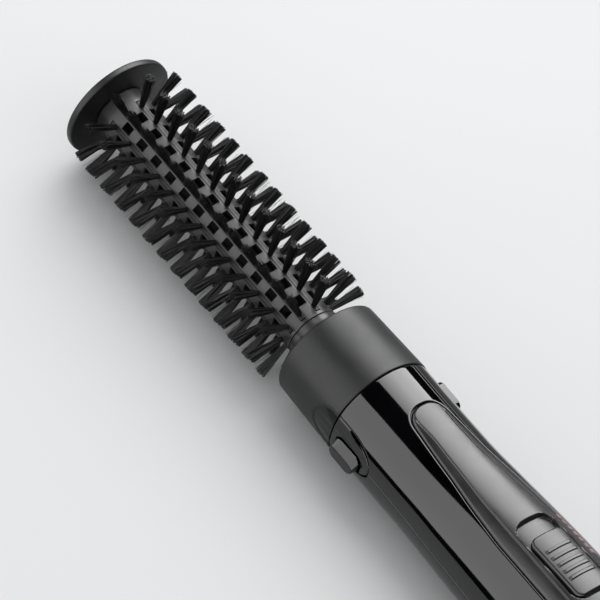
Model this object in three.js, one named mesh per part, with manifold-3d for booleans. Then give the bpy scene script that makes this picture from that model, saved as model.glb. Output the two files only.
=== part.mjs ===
// Hot air brush: round brush attachment on a handheld hot air styler.
// Millimetres, +Z up, brush axis along X with the brush tip towards -X.
import * as THREE from 'three';
import Module from 'manifold-3d';

const wasm = await Module();
wasm.setup();

// ---------- driving dimensions (mm) ----------
const GAP = 0.3;

// Brush attachment
const DISC_R = 18;
const DISC_T = 2.4;
const BARREL_R = 8.6;
const BARREL_BORE = 7.5;
const FACET_HALF = THREE.MathUtils.degToRad(6.5);
const BARREL_START = DISC_T + GAP;
const BARREL_END = 98.4;
const ROWS = 10;
const ROW_PHASE = THREE.MathUtils.degToRad(4.5);
const TUFTS = 13;
const TUFT_PITCH = 7.1;
const FIRST_TUFT = 9.9;
const TUFT_BASE_R = 0.72;
const TUFT_TIP_HALF_X = 1.75;
const TUFT_TIP_HALF_W = 1.3;
const BRISTLE_R = 20;
const STRIP_HALF_W = 0.8;
const STRIP_TOP = BARREL_R - 0.1;
const STRIP_START = 8.0;
const STRIP_END = 97.0;
const STRIP_FOOT_R = 5.6;
const VENT_X = 3.4;
const VENT_W = 2.5;
const COLLAR_START = 104.8;
const COLLAR_END = 129.8;
const COLLAR_FRONT_R = 17.2;
const COLLAR_REAR_R = 18;
const COLLAR_BORE = 16.2;
const RELIEF_FLOOR = 16.8;
const RELIEF_HALF_W = 6.5;
const RELIEF_LENGTH = 8.4;

// Handle
const SEAM = COLLAR_END + GAP;
const HANDLE_LENGTH = 188;
const SHELL_T = 2.2;
const SHELL_END = SEAM + HANDLE_LENGTH;
const NOZZLE_R = 12.2;
const NOZZLE_BORE = 10.8;
const NOZZLE_START = 111;
// The underside is flattened at this distance below the axis, so that the handle doesn't roll.
const UNDERSIDE = 19.96;
const PANEL_RAISE = 0.5;
const PANEL_SINK = 1.2;
const RECESS_FRONT = 61.5;
const RECESS_REAR = 92;
const RECESS_HALF_W = 6.6;
const SLIDER_FRONT = 68.4;
const SLIDER_REAR = 91;
const SLIDER_HALF_W = 6;
const RIDGES = 5;
const RIDGE_PITCH = 2.6;

// Release buttons
const BUTTON_X = SEAM + 7.8;
const BUTTON_LENGTH = 11;
const BUTTON_HALF_Z = 3.1;
const BUTTON_DROP = 1.9;
const BUTTON_SHOULDER = 17.9;
const BUTTON_FACE = 19.7;
const BUTTON_FACE_KEEP = 0.6;
const BOAT_LENGTH = 18;
const BOAT_FACE = 16.5;
const BOAT_BACK = 14.6;

// Rear end
const CAP_END = SHELL_END + 6;
const GLAND_BORE = 3.2;
const GLAND_END = CAP_END + 7.5;

// Smooth handle profile: distance behind the seam, half width, top and bottom height.
const HANDLE_PROFILE = [
  [0, 17.8, 17.8, 17.8],
  [12, 17.6, 17.8, 17.9],
  [30, 17.7, 18.0, 17.6],
  [45, 18.3, 19.2, 17.3],
  [60, 18.9, 20.8, 17.2],
  [75, 19.4, 22.0, 17.5],
  [90, 19.8, 22.5, 18.6],
  [108, 20.1, 22.3, 21.3],
  [130, 19.9, 21.2, 21.3],
  [150, 19.2, 19.7, 20.6],
  [168, 18.0, 18.0, 18.6],
  [180, 17.0, 17.0, 17.2],
  [188, 16.4, 16.4, 16.4],
];
// Half width of the raised top panel and of its crease line, against distance behind the seam.
const PANEL_HALF = [
  [13, 2.4], [13.7, 3.9], [15, 5.1], [17, 5.9], [20, 6.4], [26, 7.0], [36, 7.9], [51, 9.8],
  [66, 11.1], [90, 11.6], [115, 11.4], [135, 10.2], [148, 8.4], [154, 6.6], [157, 4.4], [158, 2.6],
];
const CREASE_INSET = [
  [13, 0.5], [17, 0.9], [26, 2.4], [51, 3.0], [66, 3.5], [115, 3.4], [148, 2.4], [158, 0.6],
];

// ---------- colours ----------
const matt = { color: 0x2b2c2d, roughness: 0.6 };
const gloss = { color: 0x08080a, roughness: 0.12 };
const satin = { color: 0x4a494a, roughness: 0.4 };
const bristle = { color: 0x17151a, roughness: 0.55 };
const steel = { color: 0xb4b6b9, roughness: 0.35, metalness: 1 };
const brass = { color: 0xb39a5b, roughness: 0.4, metalness: 1 };
const mica = { color: 0xcdbf9f, roughness: 0.8 };
const white = { color: 0xd8d8d4, roughness: 0.6 };
const board = { color: 0x1f5b3a, roughness: 0.5 };

// ---------- numeric helpers ----------
// Monotone cubic interpolation of a column of a table whose first column is the position.
function curve(table, column, at) {
  const last = table.length - 1;
  if (at <= table[0][0]) return table[0][column];
  if (at >= table[last][0]) return table[last][column];
  let i = 0;
  while (table[i + 1][0] < at) i += 1;
  const slope = (k) => (table[k + 1][column] - table[k][column]) / (table[k + 1][0] - table[k][0]);
  const tangent = (k) => {
    if (k === 0) return slope(0);
    if (k === last) return slope(last - 1);
    const before = slope(k - 1);
    const after = slope(k);
    return before * after <= 0 ? 0 : (2 * before * after) / (before + after);
  };
  const h = table[i + 1][0] - table[i][0];
  const t = (at - table[i][0]) / h;
  const a = 2 * t ** 3 - 3 * t ** 2 + 1;
  const b = t ** 3 - 2 * t ** 2 + t;
  const c = -2 * t ** 3 + 3 * t ** 2;
  const d = t ** 3 - t ** 2;
  return a * table[i][column] + b * h * tangent(i) + c * table[i + 1][column] + d * h * tangent(i + 1);
}

const handleHalfWidth = (u) => curve(HANDLE_PROFILE, 1, u);
const handleTop = (u) => curve(HANDLE_PROFILE, 2, u);
const handleBelly = (u) => curve(HANDLE_PROFILE, 3, u);
const handleBottom = (u) => Math.min(UNDERSIDE, handleBelly(u));

// Height of the handle's upper surface at distance u behind the seam and sideways offset y.
function topSurface(u, y) {
  const w = handleHalfWidth(u);
  return handleTop(u) * Math.sqrt(Math.max(0, 1 - (y / w) ** 2));
}

// ---------- mesh helpers ----------
function makeGeometry(points, faces) {
  let volume = 0;
  for (const [a, b, c] of faces) {
    const [p, q, r] = [points[a], points[b], points[c]];
    volume += p[0] * (q[1] * r[2] - q[2] * r[1])
      + p[1] * (q[2] * r[0] - q[0] * r[2])
      + p[2] * (q[0] * r[1] - q[1] * r[0]);
  }
  const ordered = volume < 0 ? faces.map(([a, b, c]) => [a, c, b]) : faces;
  const geometry = new THREE.BufferGeometry();
  geometry.setAttribute('position', new THREE.Float32BufferAttribute(points.flat(), 3));
  geometry.setIndex(ordered.flat());
  return geometry;
}

// Joins rings of equal point count, given in order, and closes both ends.
function loft(rings) {
  const n = rings[0].length;
  const points = rings.flat();
  const faces = [];
  for (let k = 0; k + 1 < rings.length; k += 1) {
    for (let i = 0; i < n; i += 1) {
      const j = (i + 1) % n;
      const a = k * n + i;
      const b = k * n + j;
      faces.push([a, b, b + n], [a, b + n, a + n]);
    }
  }
  for (const [k, wanted] of [[0, -1], [rings.length - 1, 1]]) {
    const outline = flattenRing(rings[k]);
    const turn = Math.sign(THREE.ShapeUtils.area(outline)) * wanted;
    for (const [a, b, c] of THREE.ShapeUtils.triangulateShape(outline.slice(), [])) {
      const sign = Math.sign(THREE.ShapeUtils.area([outline[a], outline[b], outline[c]]));
      const [p, q, r] = [a, b, c].map((i) => k * n + i);
      faces.push(sign === turn ? [p, q, r] : [p, r, q]);
    }
  }
  return makeGeometry(points, faces);
}

// Drops the axis along which a flat ring varies least.
function flattenRing(ring) {
  const spans = [0, 1, 2].map((i) => {
    const values = ring.map((p) => p[i]);
    return Math.max(...values) - Math.min(...values);
  });
  const [i, j] = [[1, 2], [2, 0], [0, 1]][spans.indexOf(Math.min(...spans))];
  return ring.map((p) => new THREE.Vector2(p[i], p[j]));
}

// Turns a closed [x, radius] outline around the X axis.
function revolve(outline, segments) {
  const points = [];
  const columns = outline.map(([x, r]) => {
    const start = points.length;
    if (r < 1e-6) {
      points.push([x, 0, 0]);
      return () => start;
    }
    for (let i = 0; i < segments; i += 1) {
      const t = (i * 2 * Math.PI) / segments;
      points.push([x, r * Math.sin(t), r * Math.cos(t)]);
    }
    return (i) => start + (i % segments);
  });
  const faces = [];
  outline.forEach((point, k) => {
    const next = (k + 1) % outline.length;
    const onAxis = point[1] < 1e-6;
    const nextOnAxis = outline[next][1] < 1e-6;
    if (onAxis && nextOnAxis) return;
    for (let i = 0; i < segments; i += 1) {
      const a = columns[k](i);
      const b = columns[k](i + 1);
      const c = columns[next](i + 1);
      const d = columns[next](i);
      if (!onAxis) faces.push([a, b, c]);
      if (!nextOnAxis) faces.push([a, c, d]);
    }
  });
  return makeGeometry(points, faces);
}

function box(x0, x1, y0, y1, z0, z1) {
  const ring = (x) => [[x, y0, z0], [x, y1, z0], [x, y1, z1], [x, y0, z1]];
  return loft([ring(x0), ring(x1)]);
}

// Round bar between two points on a line parallel to an axis.
function bar(radius, segments, from, to) {
  const a = new THREE.Vector3(...from);
  const b = new THREE.Vector3(...to);
  const geometry = revolve([[0, 0], [0, radius], [a.distanceTo(b), radius], [a.distanceTo(b), 0]], segments);
  const turn = new THREE.Quaternion().setFromUnitVectors(new THREE.Vector3(1, 0, 0), b.sub(a).normalize());
  geometry.applyQuaternion(turn);
  return geometry.translate(...from);
}

// ---------- solid helpers ----------
function toSolid(geometry) {
  const vertProperties = new Float32Array(geometry.getAttribute('position').array);
  const triVerts = new Uint32Array(geometry.getIndex().array);
  return new wasm.Manifold(new wasm.Mesh({ numProp: 3, vertProperties, triVerts }));
}

function fromSolid(solid) {
  const mesh = solid.getMesh();
  const geometry = new THREE.BufferGeometry();
  geometry.setAttribute('position', new THREE.BufferAttribute(new Float32Array(mesh.vertProperties), 3));
  geometry.setIndex(Array.from(mesh.triVerts));
  return geometry;
}

function cut(base, tools) {
  const all = wasm.Manifold.union(tools.map(toSolid));
  return fromSolid(toSolid(base).subtract(all));
}

function join(pieces) {
  return fromSolid(wasm.Manifold.union(pieces.map(toSolid)));
}

function common(a, b) {
  return fromSolid(toSolid(a).intersect(toSolid(b)));
}

// ---------- assembly ----------
const group = new THREE.Group();
group.name = 'hot_air_brush';

function add(name, geometry, look) {
  const flat = geometry.toNonIndexed();
  flat.computeVertexNormals();
  const mesh = new THREE.Mesh(flat, new THREE.MeshStandardMaterial(look));
  mesh.name = name;
  group.add(mesh);
}

const spin = (geometry, angle) => geometry.clone().rotateX(-angle);

// ---------- brush attachment ----------
function endDisc() {
  return revolve([
    [0, 4.8], [0, DISC_R - 0.6], [0.3, DISC_R - 0.15], [0.8, DISC_R], [2.0, DISC_R],
    [DISC_T, DISC_R - 0.4], [DISC_T, 6.9], [7.5, 6.9], [7.5, 1.7], [3.5, 1.7], [3.5, 3.1],
    [1.5, 3.1], [1.5, 4.8],
  ], 32);
}

function tipPlug() {
  return revolve([[0.1, 0], [0.1, 4], [0.4, 4.5], [1.2, 4.5], [1.2, 0]], 24);
}

function tipScrew() {
  return revolve([[1.7, 0], [1.7, 2.2], [2.1, 2.7], [3.2, 2.7], [3.2, 1.3], [13, 1.3], [13.6, 0.8], [13.6, 0]], 14);
}

function coreRod() {
  const rod = revolve([
    [7.8, 1.6], [7.8, 5.2], [9.3, 5.2], [9.3, 2.6], [99.5, 2.6], [99.5, 0], [15, 0], [14, 1.6],
  ], 16);
  const pieces = [rod];
  for (let i = 0; i < ROWS; i += 1) {
    pieces.push(spin(box(90, 92, -0.45, 0.45, 2, 5.2), ROW_PHASE + (i * 2 * Math.PI) / ROWS));
  }
  return join(pieces);
}

// Facets alternate between the narrow bristle rows and the wider vent rows.
function barrelRing(x, radius) {
  const ring = [];
  for (let i = 0; i < ROWS; i += 1) {
    for (const side of [-1, 1]) {
      const t = ROW_PHASE + (i * 2 * Math.PI) / ROWS + side * FACET_HALF;
      ring.push([x, radius * Math.sin(t), radius * Math.cos(t)]);
    }
  }
  return ring;
}

function barrel() {
  const outside = loft([barrelRing(BARREL_START, BARREL_R), barrelRing(BARREL_END, BARREL_R)]);
  const bore = loft([barrelRing(BARREL_START - 1, BARREL_BORE), barrelRing(BARREL_END + 1, BARREL_BORE)]);
  const tools = [bore];
  const slotHalf = STRIP_HALF_W + 0.25;
  for (let i = 0; i < ROWS; i += 1) {
    const row = ROW_PHASE + (i * 2 * Math.PI) / ROWS;
    tools.push(spin(box(STRIP_START - GAP, STRIP_END + GAP, -slotHalf, slotHalf, 6, 10), row));
    for (let k = 0; k + 1 < TUFTS; k += 1) {
      const x = FIRST_TUFT + (k + 0.5) * TUFT_PITCH;
      const vent = box(x - VENT_X / 2, x + VENT_X / 2, -VENT_W / 2, VENT_W / 2, 6, 10);
      tools.push(spin(vent, row + Math.PI / ROWS));
    }
  }
  return cut(outside, tools);
}

// Sideways lean of the tufts next to either end of a row.
function tuftLean(k) {
  const fromEnd = Math.min(k, TUFTS - 1 - k);
  const side = k < TUFTS / 2 ? -1 : 1;
  return side * ([1.7, 0.6][fromEnd] ?? 0);
}

// Foot bar whose outer face carries the tufts, built as one skin.
function bristleStrip() {
  const sides = 6;
  const points = [];
  const faces = [];
  for (const z of [STRIP_TOP, STRIP_FOOT_R]) {
    points.push([STRIP_START, -STRIP_HALF_W, z], [STRIP_END, -STRIP_HALF_W, z]);
    points.push([STRIP_END, STRIP_HALF_W, z], [STRIP_START, STRIP_HALF_W, z]);
  }
  faces.push([4, 6, 5], [4, 7, 6]);
  for (let i = 0; i < 4; i += 1) {
    const j = (i + 1) % 4;
    faces.push([i, i + 4, j + 4], [i, j + 4, j]);
  }
  const lookup = [0, 1, 2, 3];
  const holes = [];
  for (let k = 0; k < TUFTS; k += 1) {
    const x = FIRST_TUFT + k * TUFT_PITCH;
    const base = points.length;
    const turn = 0.2 + 0.05 * k;
    for (let i = 0; i < sides; i += 1) {
      const t = turn + (i * 2 * Math.PI) / sides;
      points.push([x + TUFT_BASE_R * Math.cos(t), TUFT_BASE_R * Math.sin(t), STRIP_TOP]);
      lookup.push(base + i);
    }
    for (let i = 0; i < sides; i += 1) {
      const t = turn + (i * 2 * Math.PI) / sides;
      const tipX = x + tuftLean(k) + TUFT_TIP_HALF_X * Math.cos(t);
      points.push([tipX, TUFT_TIP_HALF_W * Math.sin(t), BRISTLE_R]);
    }
    for (let i = 0; i < sides; i += 1) {
      const j = (i + 1) % sides;
      const top = base + sides;
      faces.push([base + i, base + j, top + j], [base + i, top + j, top + i]);
      if (i > 0 && j > 0) faces.push([top, top + i, top + j]);
    }
    holes.push(points.slice(base, base + sides).map(([px, py]) => new THREE.Vector2(px, py)));
  }
  const outline = points.slice(0, 4).map(([px, py]) => new THREE.Vector2(px, py));
  const tris = THREE.ShapeUtils.triangulateShape(outline, holes);
  const corners = tris[0].map((i) => new THREE.Vector2(points[lookup[i]][0], points[lookup[i]][1]));
  const upward = THREE.ShapeUtils.area(corners) > 0;
  for (const [a, b, c] of tris) {
    const [p, q, r] = [lookup[a], lookup[b], lookup[c]];
    faces.push(upward ? [p, q, r] : [p, r, q]);
  }
  return makeGeometry(points, faces);
}

function barrelBase() {
  return revolve([
    [97.4, 5.8], [97.4, 7.0], [98.7, 7.0], [98.7, 8.7], [101.0, 9.2], [101.8, 9.9], [101.8, 11.7],
    [102.1, 12.1], [103.1, 12.1], [103.4, 11.7], [104.5, 11.7], [104.5, 10.9], [107.3, 10.9],
    [107.3, 14.6], [109, 14.6], [109, 9.8],
  ], 24);
}

// Flat shallow pocket with an arched front, open at the collar's rear edge.
function reliefTool(side) {
  const outline = [];
  const front = COLLAR_END - RELIEF_LENGTH;
  for (let i = 0; i <= 10; i += 1) {
    const t = -Math.PI / 2 + (i * Math.PI) / 10;
    outline.push([front + RELIEF_HALF_W * 0.9 * (1 - Math.cos(t)), (RELIEF_HALF_W + 0.4) * Math.sin(t)]);
  }
  outline.push([COLLAR_END + 1, RELIEF_HALF_W + 0.4], [COLLAR_END + 1, -RELIEF_HALF_W - 0.4]);
  const ring = (y) => outline.map(([x, z]) => [x, side * y, z]);
  return loft([ring(RELIEF_FLOOR), ring(20)]);
}

function collar() {
  const body = revolve([
    [COLLAR_START, 11.2], [COLLAR_START, COLLAR_FRONT_R - 1.5], [COLLAR_START + 0.3, COLLAR_FRONT_R - 0.6],
    [COLLAR_START + 1.1, COLLAR_FRONT_R], [COLLAR_END - 0.3, COLLAR_REAR_R],
    [COLLAR_END, COLLAR_REAR_R - 0.25], [COLLAR_END, COLLAR_BORE], [COLLAR_START + 2.2, COLLAR_BORE],
    [COLLAR_START + 2.2, 11.2],
  ], 40);
  return cut(body, [reliefTool(-1), reliefTool(1)]);
}

function collarLiner() {
  const front = 109.4;
  const rear = COLLAR_END - 0.4;
  return revolve([
    [front, 12.5], [front, 13.6], [rear - 1.5, 13.6], [rear - 1.5, 14.9], [front, 14.9],
    [front, 15.9], [rear, 15.9], [rear, 12.5],
  ], 20);
}

// ---------- handle ----------
function stations(from, to, keys) {
  return [from, ...keys.filter((k) => k > from && k < to), to];
}

const SHELL_KEYS = [12, 26, 36, 45, 54, 63, 73, 84, 95, 107, 120, 133, 145, 156, 166, 175, 182];

// Upper (side 1) or lower (side -1) half of the case as a C-shaped section.
function shellSection(u, side) {
  const w = handleHalfWidth(u);
  const h = side > 0 ? handleTop(u) : handleBelly(u);
  const split = 0.15;
  const arc = (halfWidth, height, limit, count) => {
    const start = Math.asin(split / height);
    const points = [];
    for (let i = 0; i <= count; i += 1) {
      const t = start + ((Math.PI - 2 * start) * i) / count;
      const reach = Math.min(limit, height * Math.sin(t));
      points.push([SEAM + u, -halfWidth * Math.cos(t), side * reach]);
    }
    return points;
  };
  const flat = side > 0 ? h : UNDERSIDE;
  return [...arc(w, h, flat, 18), ...arc(w - SHELL_T, h - SHELL_T, flat - SHELL_T, 8).reverse()];
}

function shellBody(side) {
  return loft(stations(0, HANDLE_LENGTH, SHELL_KEYS).map((u) => shellSection(u, side)));
}

// Slab that follows the handle's upper surface between two heights measured from it.
function surfaceSlab(positions, halfWidth, low, high, across) {
  const ring = (u) => {
    const half = halfWidth(u);
    const upper = [];
    const lower = [];
    for (let i = 0; i <= across; i += 1) {
      const y = half * ((2 * i) / across - 1);
      upper.push([SEAM + u, y, topSurface(u, y) + high(u, y, half)]);
      lower.push([SEAM + u, y, topSurface(u, y) + low]);
    }
    return [...upper, ...lower.reverse()];
  };
  return loft(positions.map(ring));
}

const PANEL_STATIONS = [
  13, 13.7, 15, 17, 20, 26, 34, 43, 53, 63, 73, 84, 95, 107, 120, 133, 143, 148, 154, 157, 158,
];

// Rounded-rectangle outline in the X-Y plane.
function roundedPlan(x0, x1, half, radius, steps) {
  const points = [];
  const corners = [[x1, 1, 0], [x0, 1, 1], [x0, -1, 2], [x1, -1, 3]];
  for (const [x, side, quarter] of corners) {
    const cx = x === x1 ? x1 - radius : x0 + radius;
    const cy = side * (half - radius);
    for (let i = 0; i <= steps; i += 1) {
      const t = ((quarter + i / steps) * Math.PI) / 2;
      points.push([cx + radius * Math.cos(t), cy + radius * Math.sin(t)]);
    }
  }
  return points;
}

function planPrism(outline, z0, z1) {
  return loft([z0, z1].map((z) => outline.map(([x, y]) => [x, y, z])));
}

function topPanel() {
  const half = (u) => curve(PANEL_HALF, 1, u) - 0.02;
  const rise = (u, y, edge) => {
    const inset = curve(CREASE_INSET, 1, u);
    const fromEdge = edge - Math.abs(y);
    return PANEL_RAISE * Math.min(1, 0.35 + (0.65 * fromEdge) / inset);
  };
  const slab = surfaceSlab(PANEL_STATIONS, half, -PANEL_SINK, rise, 10);
  const recess = planPrism(roundedPlan(SEAM + RECESS_FRONT, SEAM + RECESS_REAR, RECESS_HALF_W, 2.8, 3), 10, 30);
  return cut(slab, [recess]);
}

function panelPocket() {
  const half = (u) => curve(PANEL_HALF, 1, u) + GAP;
  const positions = PANEL_STATIONS.map((u) => {
    if (u === PANEL_STATIONS[0]) return u - GAP;
    return u === PANEL_STATIONS[PANEL_STATIONS.length - 1] ? u + GAP : u;
  });
  return surfaceSlab(positions, half, -PANEL_SINK - GAP, () => 6, 8);
}

// Half height of the boat-shaped button surround at distance u behind the seam.
function boatHalf(u, grow) {
  const t = Math.min(1, Math.max(0, u / BOAT_LENGTH));
  return (RELIEF_HALF_W - 0.3) * Math.sqrt(Math.max(0, 1 - t ** 3)) + grow;
}

function boatPrism(side, y0, y1, grow, front) {
  const outline = [];
  const steps = [0, 4, 8, 11, 13.5, 15.5, 17, 17.8];
  for (const u of steps) outline.push([SEAM + Math.max(u, front) + (u > 15 ? grow : 0), boatHalf(u, grow)]);
  for (const u of steps.slice().reverse()) {
    outline.push([SEAM + Math.max(u, front) + (u > 15 ? grow : 0), -boatHalf(u, grow)]);
  }
  return loft([y0, y1].map((y) => outline.map(([x, z]) => [x, side * y, z])));
}

// The buttons are diametrically opposite: the left one sits a little low, the right one a little high.
function buttonPlan(side, grow) {
  const x0 = BUTTON_X - BUTTON_LENGTH / 2 - grow;
  const x1 = BUTTON_X + BUTTON_LENGTH / 2 + grow;
  const plan = roundedPlan(x0, x1, BUTTON_HALF_Z + grow, 2.6 + grow, 3);
  return plan.map(([x, z]) => [x, z + side * BUTTON_DROP]);
}

function buttonPrism(side, y0, y1, grow) {
  return loft([y0, y1].map((y) => buttonPlan(side, grow).map(([x, z]) => [x, side * y, z])));
}

function buttonSurround(side) {
  const plate = boatPrism(side, BOAT_BACK, BOAT_FACE, 0, 0.2);
  return cut(plate, [buttonPrism(side, BOAT_BACK - 1, BOAT_FACE + 1, GAP)]);
}

// Push button with one sloping facet, a thumb face and a short stem.
function releaseButton(side) {
  const plan = buttonPlan(side, 0);
  const edge = side * (BUTTON_DROP + BUTTON_HALF_Z);
  const ring = (y, keep) => plan.map(([x, z]) => {
    const shrink = 0.9 + 0.1 * keep;
    return [BUTTON_X + (x - BUTTON_X) * shrink, side * y, edge + (z - edge) * keep];
  });
  const body = loft([ring(16.3, 1), ring(BUTTON_SHOULDER, 1), ring(BUTTON_FACE, BUTTON_FACE_KEEP)]);
  const [y0, y1] = [side * 15, side * 16.5].sort((a, b) => a - b);
  const middle = side * BUTTON_DROP;
  const stem = box(BUTTON_X - 2.5, BUTTON_X + 2.5, y0, y1, middle - 1.5, middle + 1.5);
  return join([body, stem]);
}

function latchSpring(side) {
  const outline = [[-5.2, 13.8], [-4, 12.9], [0, 12.6], [4, 12.9], [5.2, 13.8]];
  const strip = (inset) => outline.map(([x, y]) => [BUTTON_X + 0.8 + x, side * (y + inset)]);
  const ring = (z) => [...strip(0), ...strip(0.4).reverse()].map(([x, y]) => [x, y, z]);
  return loft([ring(-2), ring(2)]);
}

const SCREWS = [105, 172];

function screwPost(u, side) {
  const height = side > 0 ? handleTop(u) - 1 : handleBottom(u) - 1;
  return bar(3.4, 12, [SEAM + u, 0, side * 0.4], [SEAM + u, 0, side * height]);
}

function upperShell() {
  const posts = SCREWS.map((u) => common(screwPost(u, 1), shellFill(1)));
  const body = join([shellBody(1), ...posts]);
  const slot = planPrism(roundedPlan(SEAM + 71, SEAM + 89, 2.4, 2.2, 3), 8, 30);
  const tools = [panelPocket(), slot, buttonWindow(-1), buttonWindow(1)];
  for (const u of SCREWS) tools.push(bar(1.6, 12, [SEAM + u, 0, -1], [SEAM + u, 0, 10]));
  return cut(body, tools);
}

function lowerShell() {
  const posts = SCREWS.map((u) => common(screwPost(u, -1), shellFill(-1)));
  const body = join([shellBody(-1), ...posts]);
  const tools = [buttonWindow(-1), buttonWindow(1)];
  for (const u of SCREWS) {
    const foot = -handleBottom(u);
    tools.push(bar(1.6, 12, [SEAM + u, 0, 1], [SEAM + u, 0, foot - 1]));
    tools.push(bar(3.0, 12, [SEAM + u, 0, foot + 4], [SEAM + u, 0, foot - 1]));
  }
  return cut(body, tools);
}

// Solid half of the handle, used to trim the screw posts.
function shellFill(side) {
  const inset = 0.6;
  const rings = stations(0, HANDLE_LENGTH, SHELL_KEYS).map((u) => {
    const w = handleHalfWidth(u) - inset;
    const h = (side > 0 ? handleTop(u) : handleBottom(u)) - inset;
    const points = [];
    for (let i = 0; i <= 10; i += 1) {
      const t = (Math.PI * i) / 10;
      points.push([SEAM + u, -w * Math.cos(t), side * h * Math.sin(t)]);
    }
    return points;
  });
  return loft(rings);
}

function buttonWindow(side) {
  return boatPrism(side, BOAT_BACK - 2, 21, GAP, -2);
}

function caseScrew(u) {
  const foot = -handleBottom(u) + 3.7;
  const geometry = revolve([
    [0, 0], [0, 1.1], [9, 1.2], [9, 2.6], [10.6, 2.6], [11, 2.1], [11, 0],
  ], 12);
  geometry.rotateY(Math.PI / 2);
  return geometry.translate(SEAM + u, 0, foot + 9);
}

function frontBulkhead() {
  return revolve([
    [SEAM + 0.3, NOZZLE_R + GAP], [SEAM + 0.3, 14.2], [SEAM + 2.2, 14.2], [SEAM + 2.2, NOZZLE_R + GAP],
  ], 20);
}

function nozzleTube() {
  return revolve([
    [NOZZLE_START, NOZZLE_BORE], [NOZZLE_START, NOZZLE_R - 0.5], [NOZZLE_START + 0.6, NOZZLE_R],
    [SEAM + 50, NOZZLE_R], [SEAM + 50, 14.4], [SEAM + 52, 14.4], [SEAM + 52, NOZZLE_BORE],
  ], 24);
}

function micaFrame() {
  const upright = box(SEAM + 3, SEAM + 44, -0.4, 0.4, -7.6, 7.6);
  const level = box(SEAM + 3, SEAM + 44, -7.6, 7.6, -0.4, 0.4);
  return join([upright, level]);
}

function heaterCoil() {
  const turns = 7;
  const start = SEAM + 6;
  const length = 34;
  class Helix extends THREE.Curve {
    getPoint(t, target = new THREE.Vector3()) {
      const angle = t * turns * 2 * Math.PI;
      return target.set(start + length * t, 8.7 * Math.sin(angle), 8.7 * Math.cos(angle));
    }
  }
  const wire = new THREE.Shape();
  wire.absarc(0, 0, 0.4, 0, 2 * Math.PI, false);
  const geometry = new THREE.ExtrudeGeometry(wire, {
    steps: turns * 11, curveSegments: 2, bevelEnabled: false, extrudePath: new Helix(),
  });
  return weld(geometry);
}

// Merges coincident corners so that the surface is one closed skin.
function weld(geometry) {
  const position = geometry.getAttribute('position');
  const lookup = new Map();
  const points = [];
  const index = [];
  for (let i = 0; i < position.count; i += 1) {
    const p = [position.getX(i), position.getY(i), position.getZ(i)];
    const key = p.map((v) => Math.round(v * 1e4)).join(',');
    if (!lookup.has(key)) {
      lookup.set(key, points.length);
      points.push(p);
    }
    index.push(lookup.get(key));
  }
  const faces = [];
  for (let i = 0; i < index.length; i += 3) {
    const [a, b, c] = [index[i], index[i + 1], index[i + 2]];
    if (a !== b && b !== c && a !== c) faces.push([a, b, c]);
  }
  return makeGeometry(points, faces);
}

function thermostat() {
  return join([
    box(SEAM + 28, SEAM + 38, 1, 5, 1, 4.4),
    bar(1.4, 10, [SEAM + 33, 3, 4], [SEAM + 33, 3, 5.4]),
  ]);
}

function thermalFuse() {
  return revolve([[0, 0], [0, 0.5], [3, 0.5], [3, 1.3], [12, 1.3], [12.8, 0.5], [16, 0.5], [16, 0]], 10)
    .translate(SEAM + 12, -3, 2.6);
}

function fanDuct() {
  return revolve([
    [SEAM + 52.4, 13.9], [SEAM + 52.4, 14.7], [SEAM + 88, 14.7], [SEAM + 90, 15.9], [SEAM + 91, 15.9],
    [SEAM + 91, 15.1], [SEAM + 88.4, 13.9],
  ], 24);
}

const FAN_X = SEAM + 56;

function fanImpeller() {
  const hub = revolve([
    [FAN_X, 1.2], [FAN_X, 3.2], [FAN_X + 1.4, 5], [FAN_X + 8, 5.4], [FAN_X + 8, 1.2],
  ], 18);
  const blades = [];
  for (let i = 0; i < 7; i += 1) {
    const root = [[-1.0, 0.4], [1.6, 7.4]];
    const tip = [[-3.2, 1.2], [3.4, 6.6]];
    const ring = (line, radius) => {
      const [[y0, x0], [y1, x1]] = line;
      return [
        [FAN_X + x0, y0, radius], [FAN_X + x0 + 0.2, y0 - 0.8, radius],
        [FAN_X + x1 + 0.2, y1 - 0.8, radius], [FAN_X + x1, y1, radius],
      ];
    };
    blades.push(spin(loft([ring(root, 3.6), ring(tip, 12.9)]), (i * 2 * Math.PI) / 7));
  }
  return join([hub, ...blades]);
}

function fanShaft() {
  return revolve([[FAN_X - 1.5, 0], [FAN_X - 1.5, 0.9], [FAN_X + 19, 0.9], [FAN_X + 19, 0]], 12);
}

const MOTOR_X = FAN_X + 11;

function motor() {
  return revolve([
    [MOTOR_X - 1.6, 0.97], [MOTOR_X - 1.6, 3], [MOTOR_X, 3], [MOTOR_X, 8.6], [MOTOR_X + 0.6, 9.2],
    [MOTOR_X + 19, 9.2], [MOTOR_X + 19.6, 8.4], [MOTOR_X + 19.6, 3.2], [MOTOR_X + 21, 3.2],
    [MOTOR_X + 21, 0], [MOTOR_X + 9, 0], [MOTOR_X + 9, 0.97],
  ], 20);
}

function motorMount() {
  const sleeve = revolve([
    [MOTOR_X + 4, 9.5], [MOTOR_X + 4, 10.3], [MOTOR_X + 14, 10.3], [MOTOR_X + 14, 9.5],
  ], 20);
  const vanes = [];
  for (let i = 0; i < 5; i += 1) {
    vanes.push(spin(box(MOTOR_X + 5, MOTOR_X + 13, -0.5, 0.5, 9.9, 13.5), ((i + 0.5) * 2 * Math.PI) / 5));
  }
  return join([sleeve, ...vanes]);
}

function rectifierBoard() {
  const left = SEAM + 112;
  const pieces = [box(left, left + 34, -9, 9, -7.6, -6)];
  for (let i = 0; i < 4; i += 1) pieces.push(box(left + 3 + i * 4, left + 5.6 + i * 4, -6, -1, -6.5, -3.6));
  pieces.push(bar(3.2, 14, [left + 26, 3.4, -6.5], [left + 26, 3.4, 2]));
  return join(pieces);
}

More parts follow.
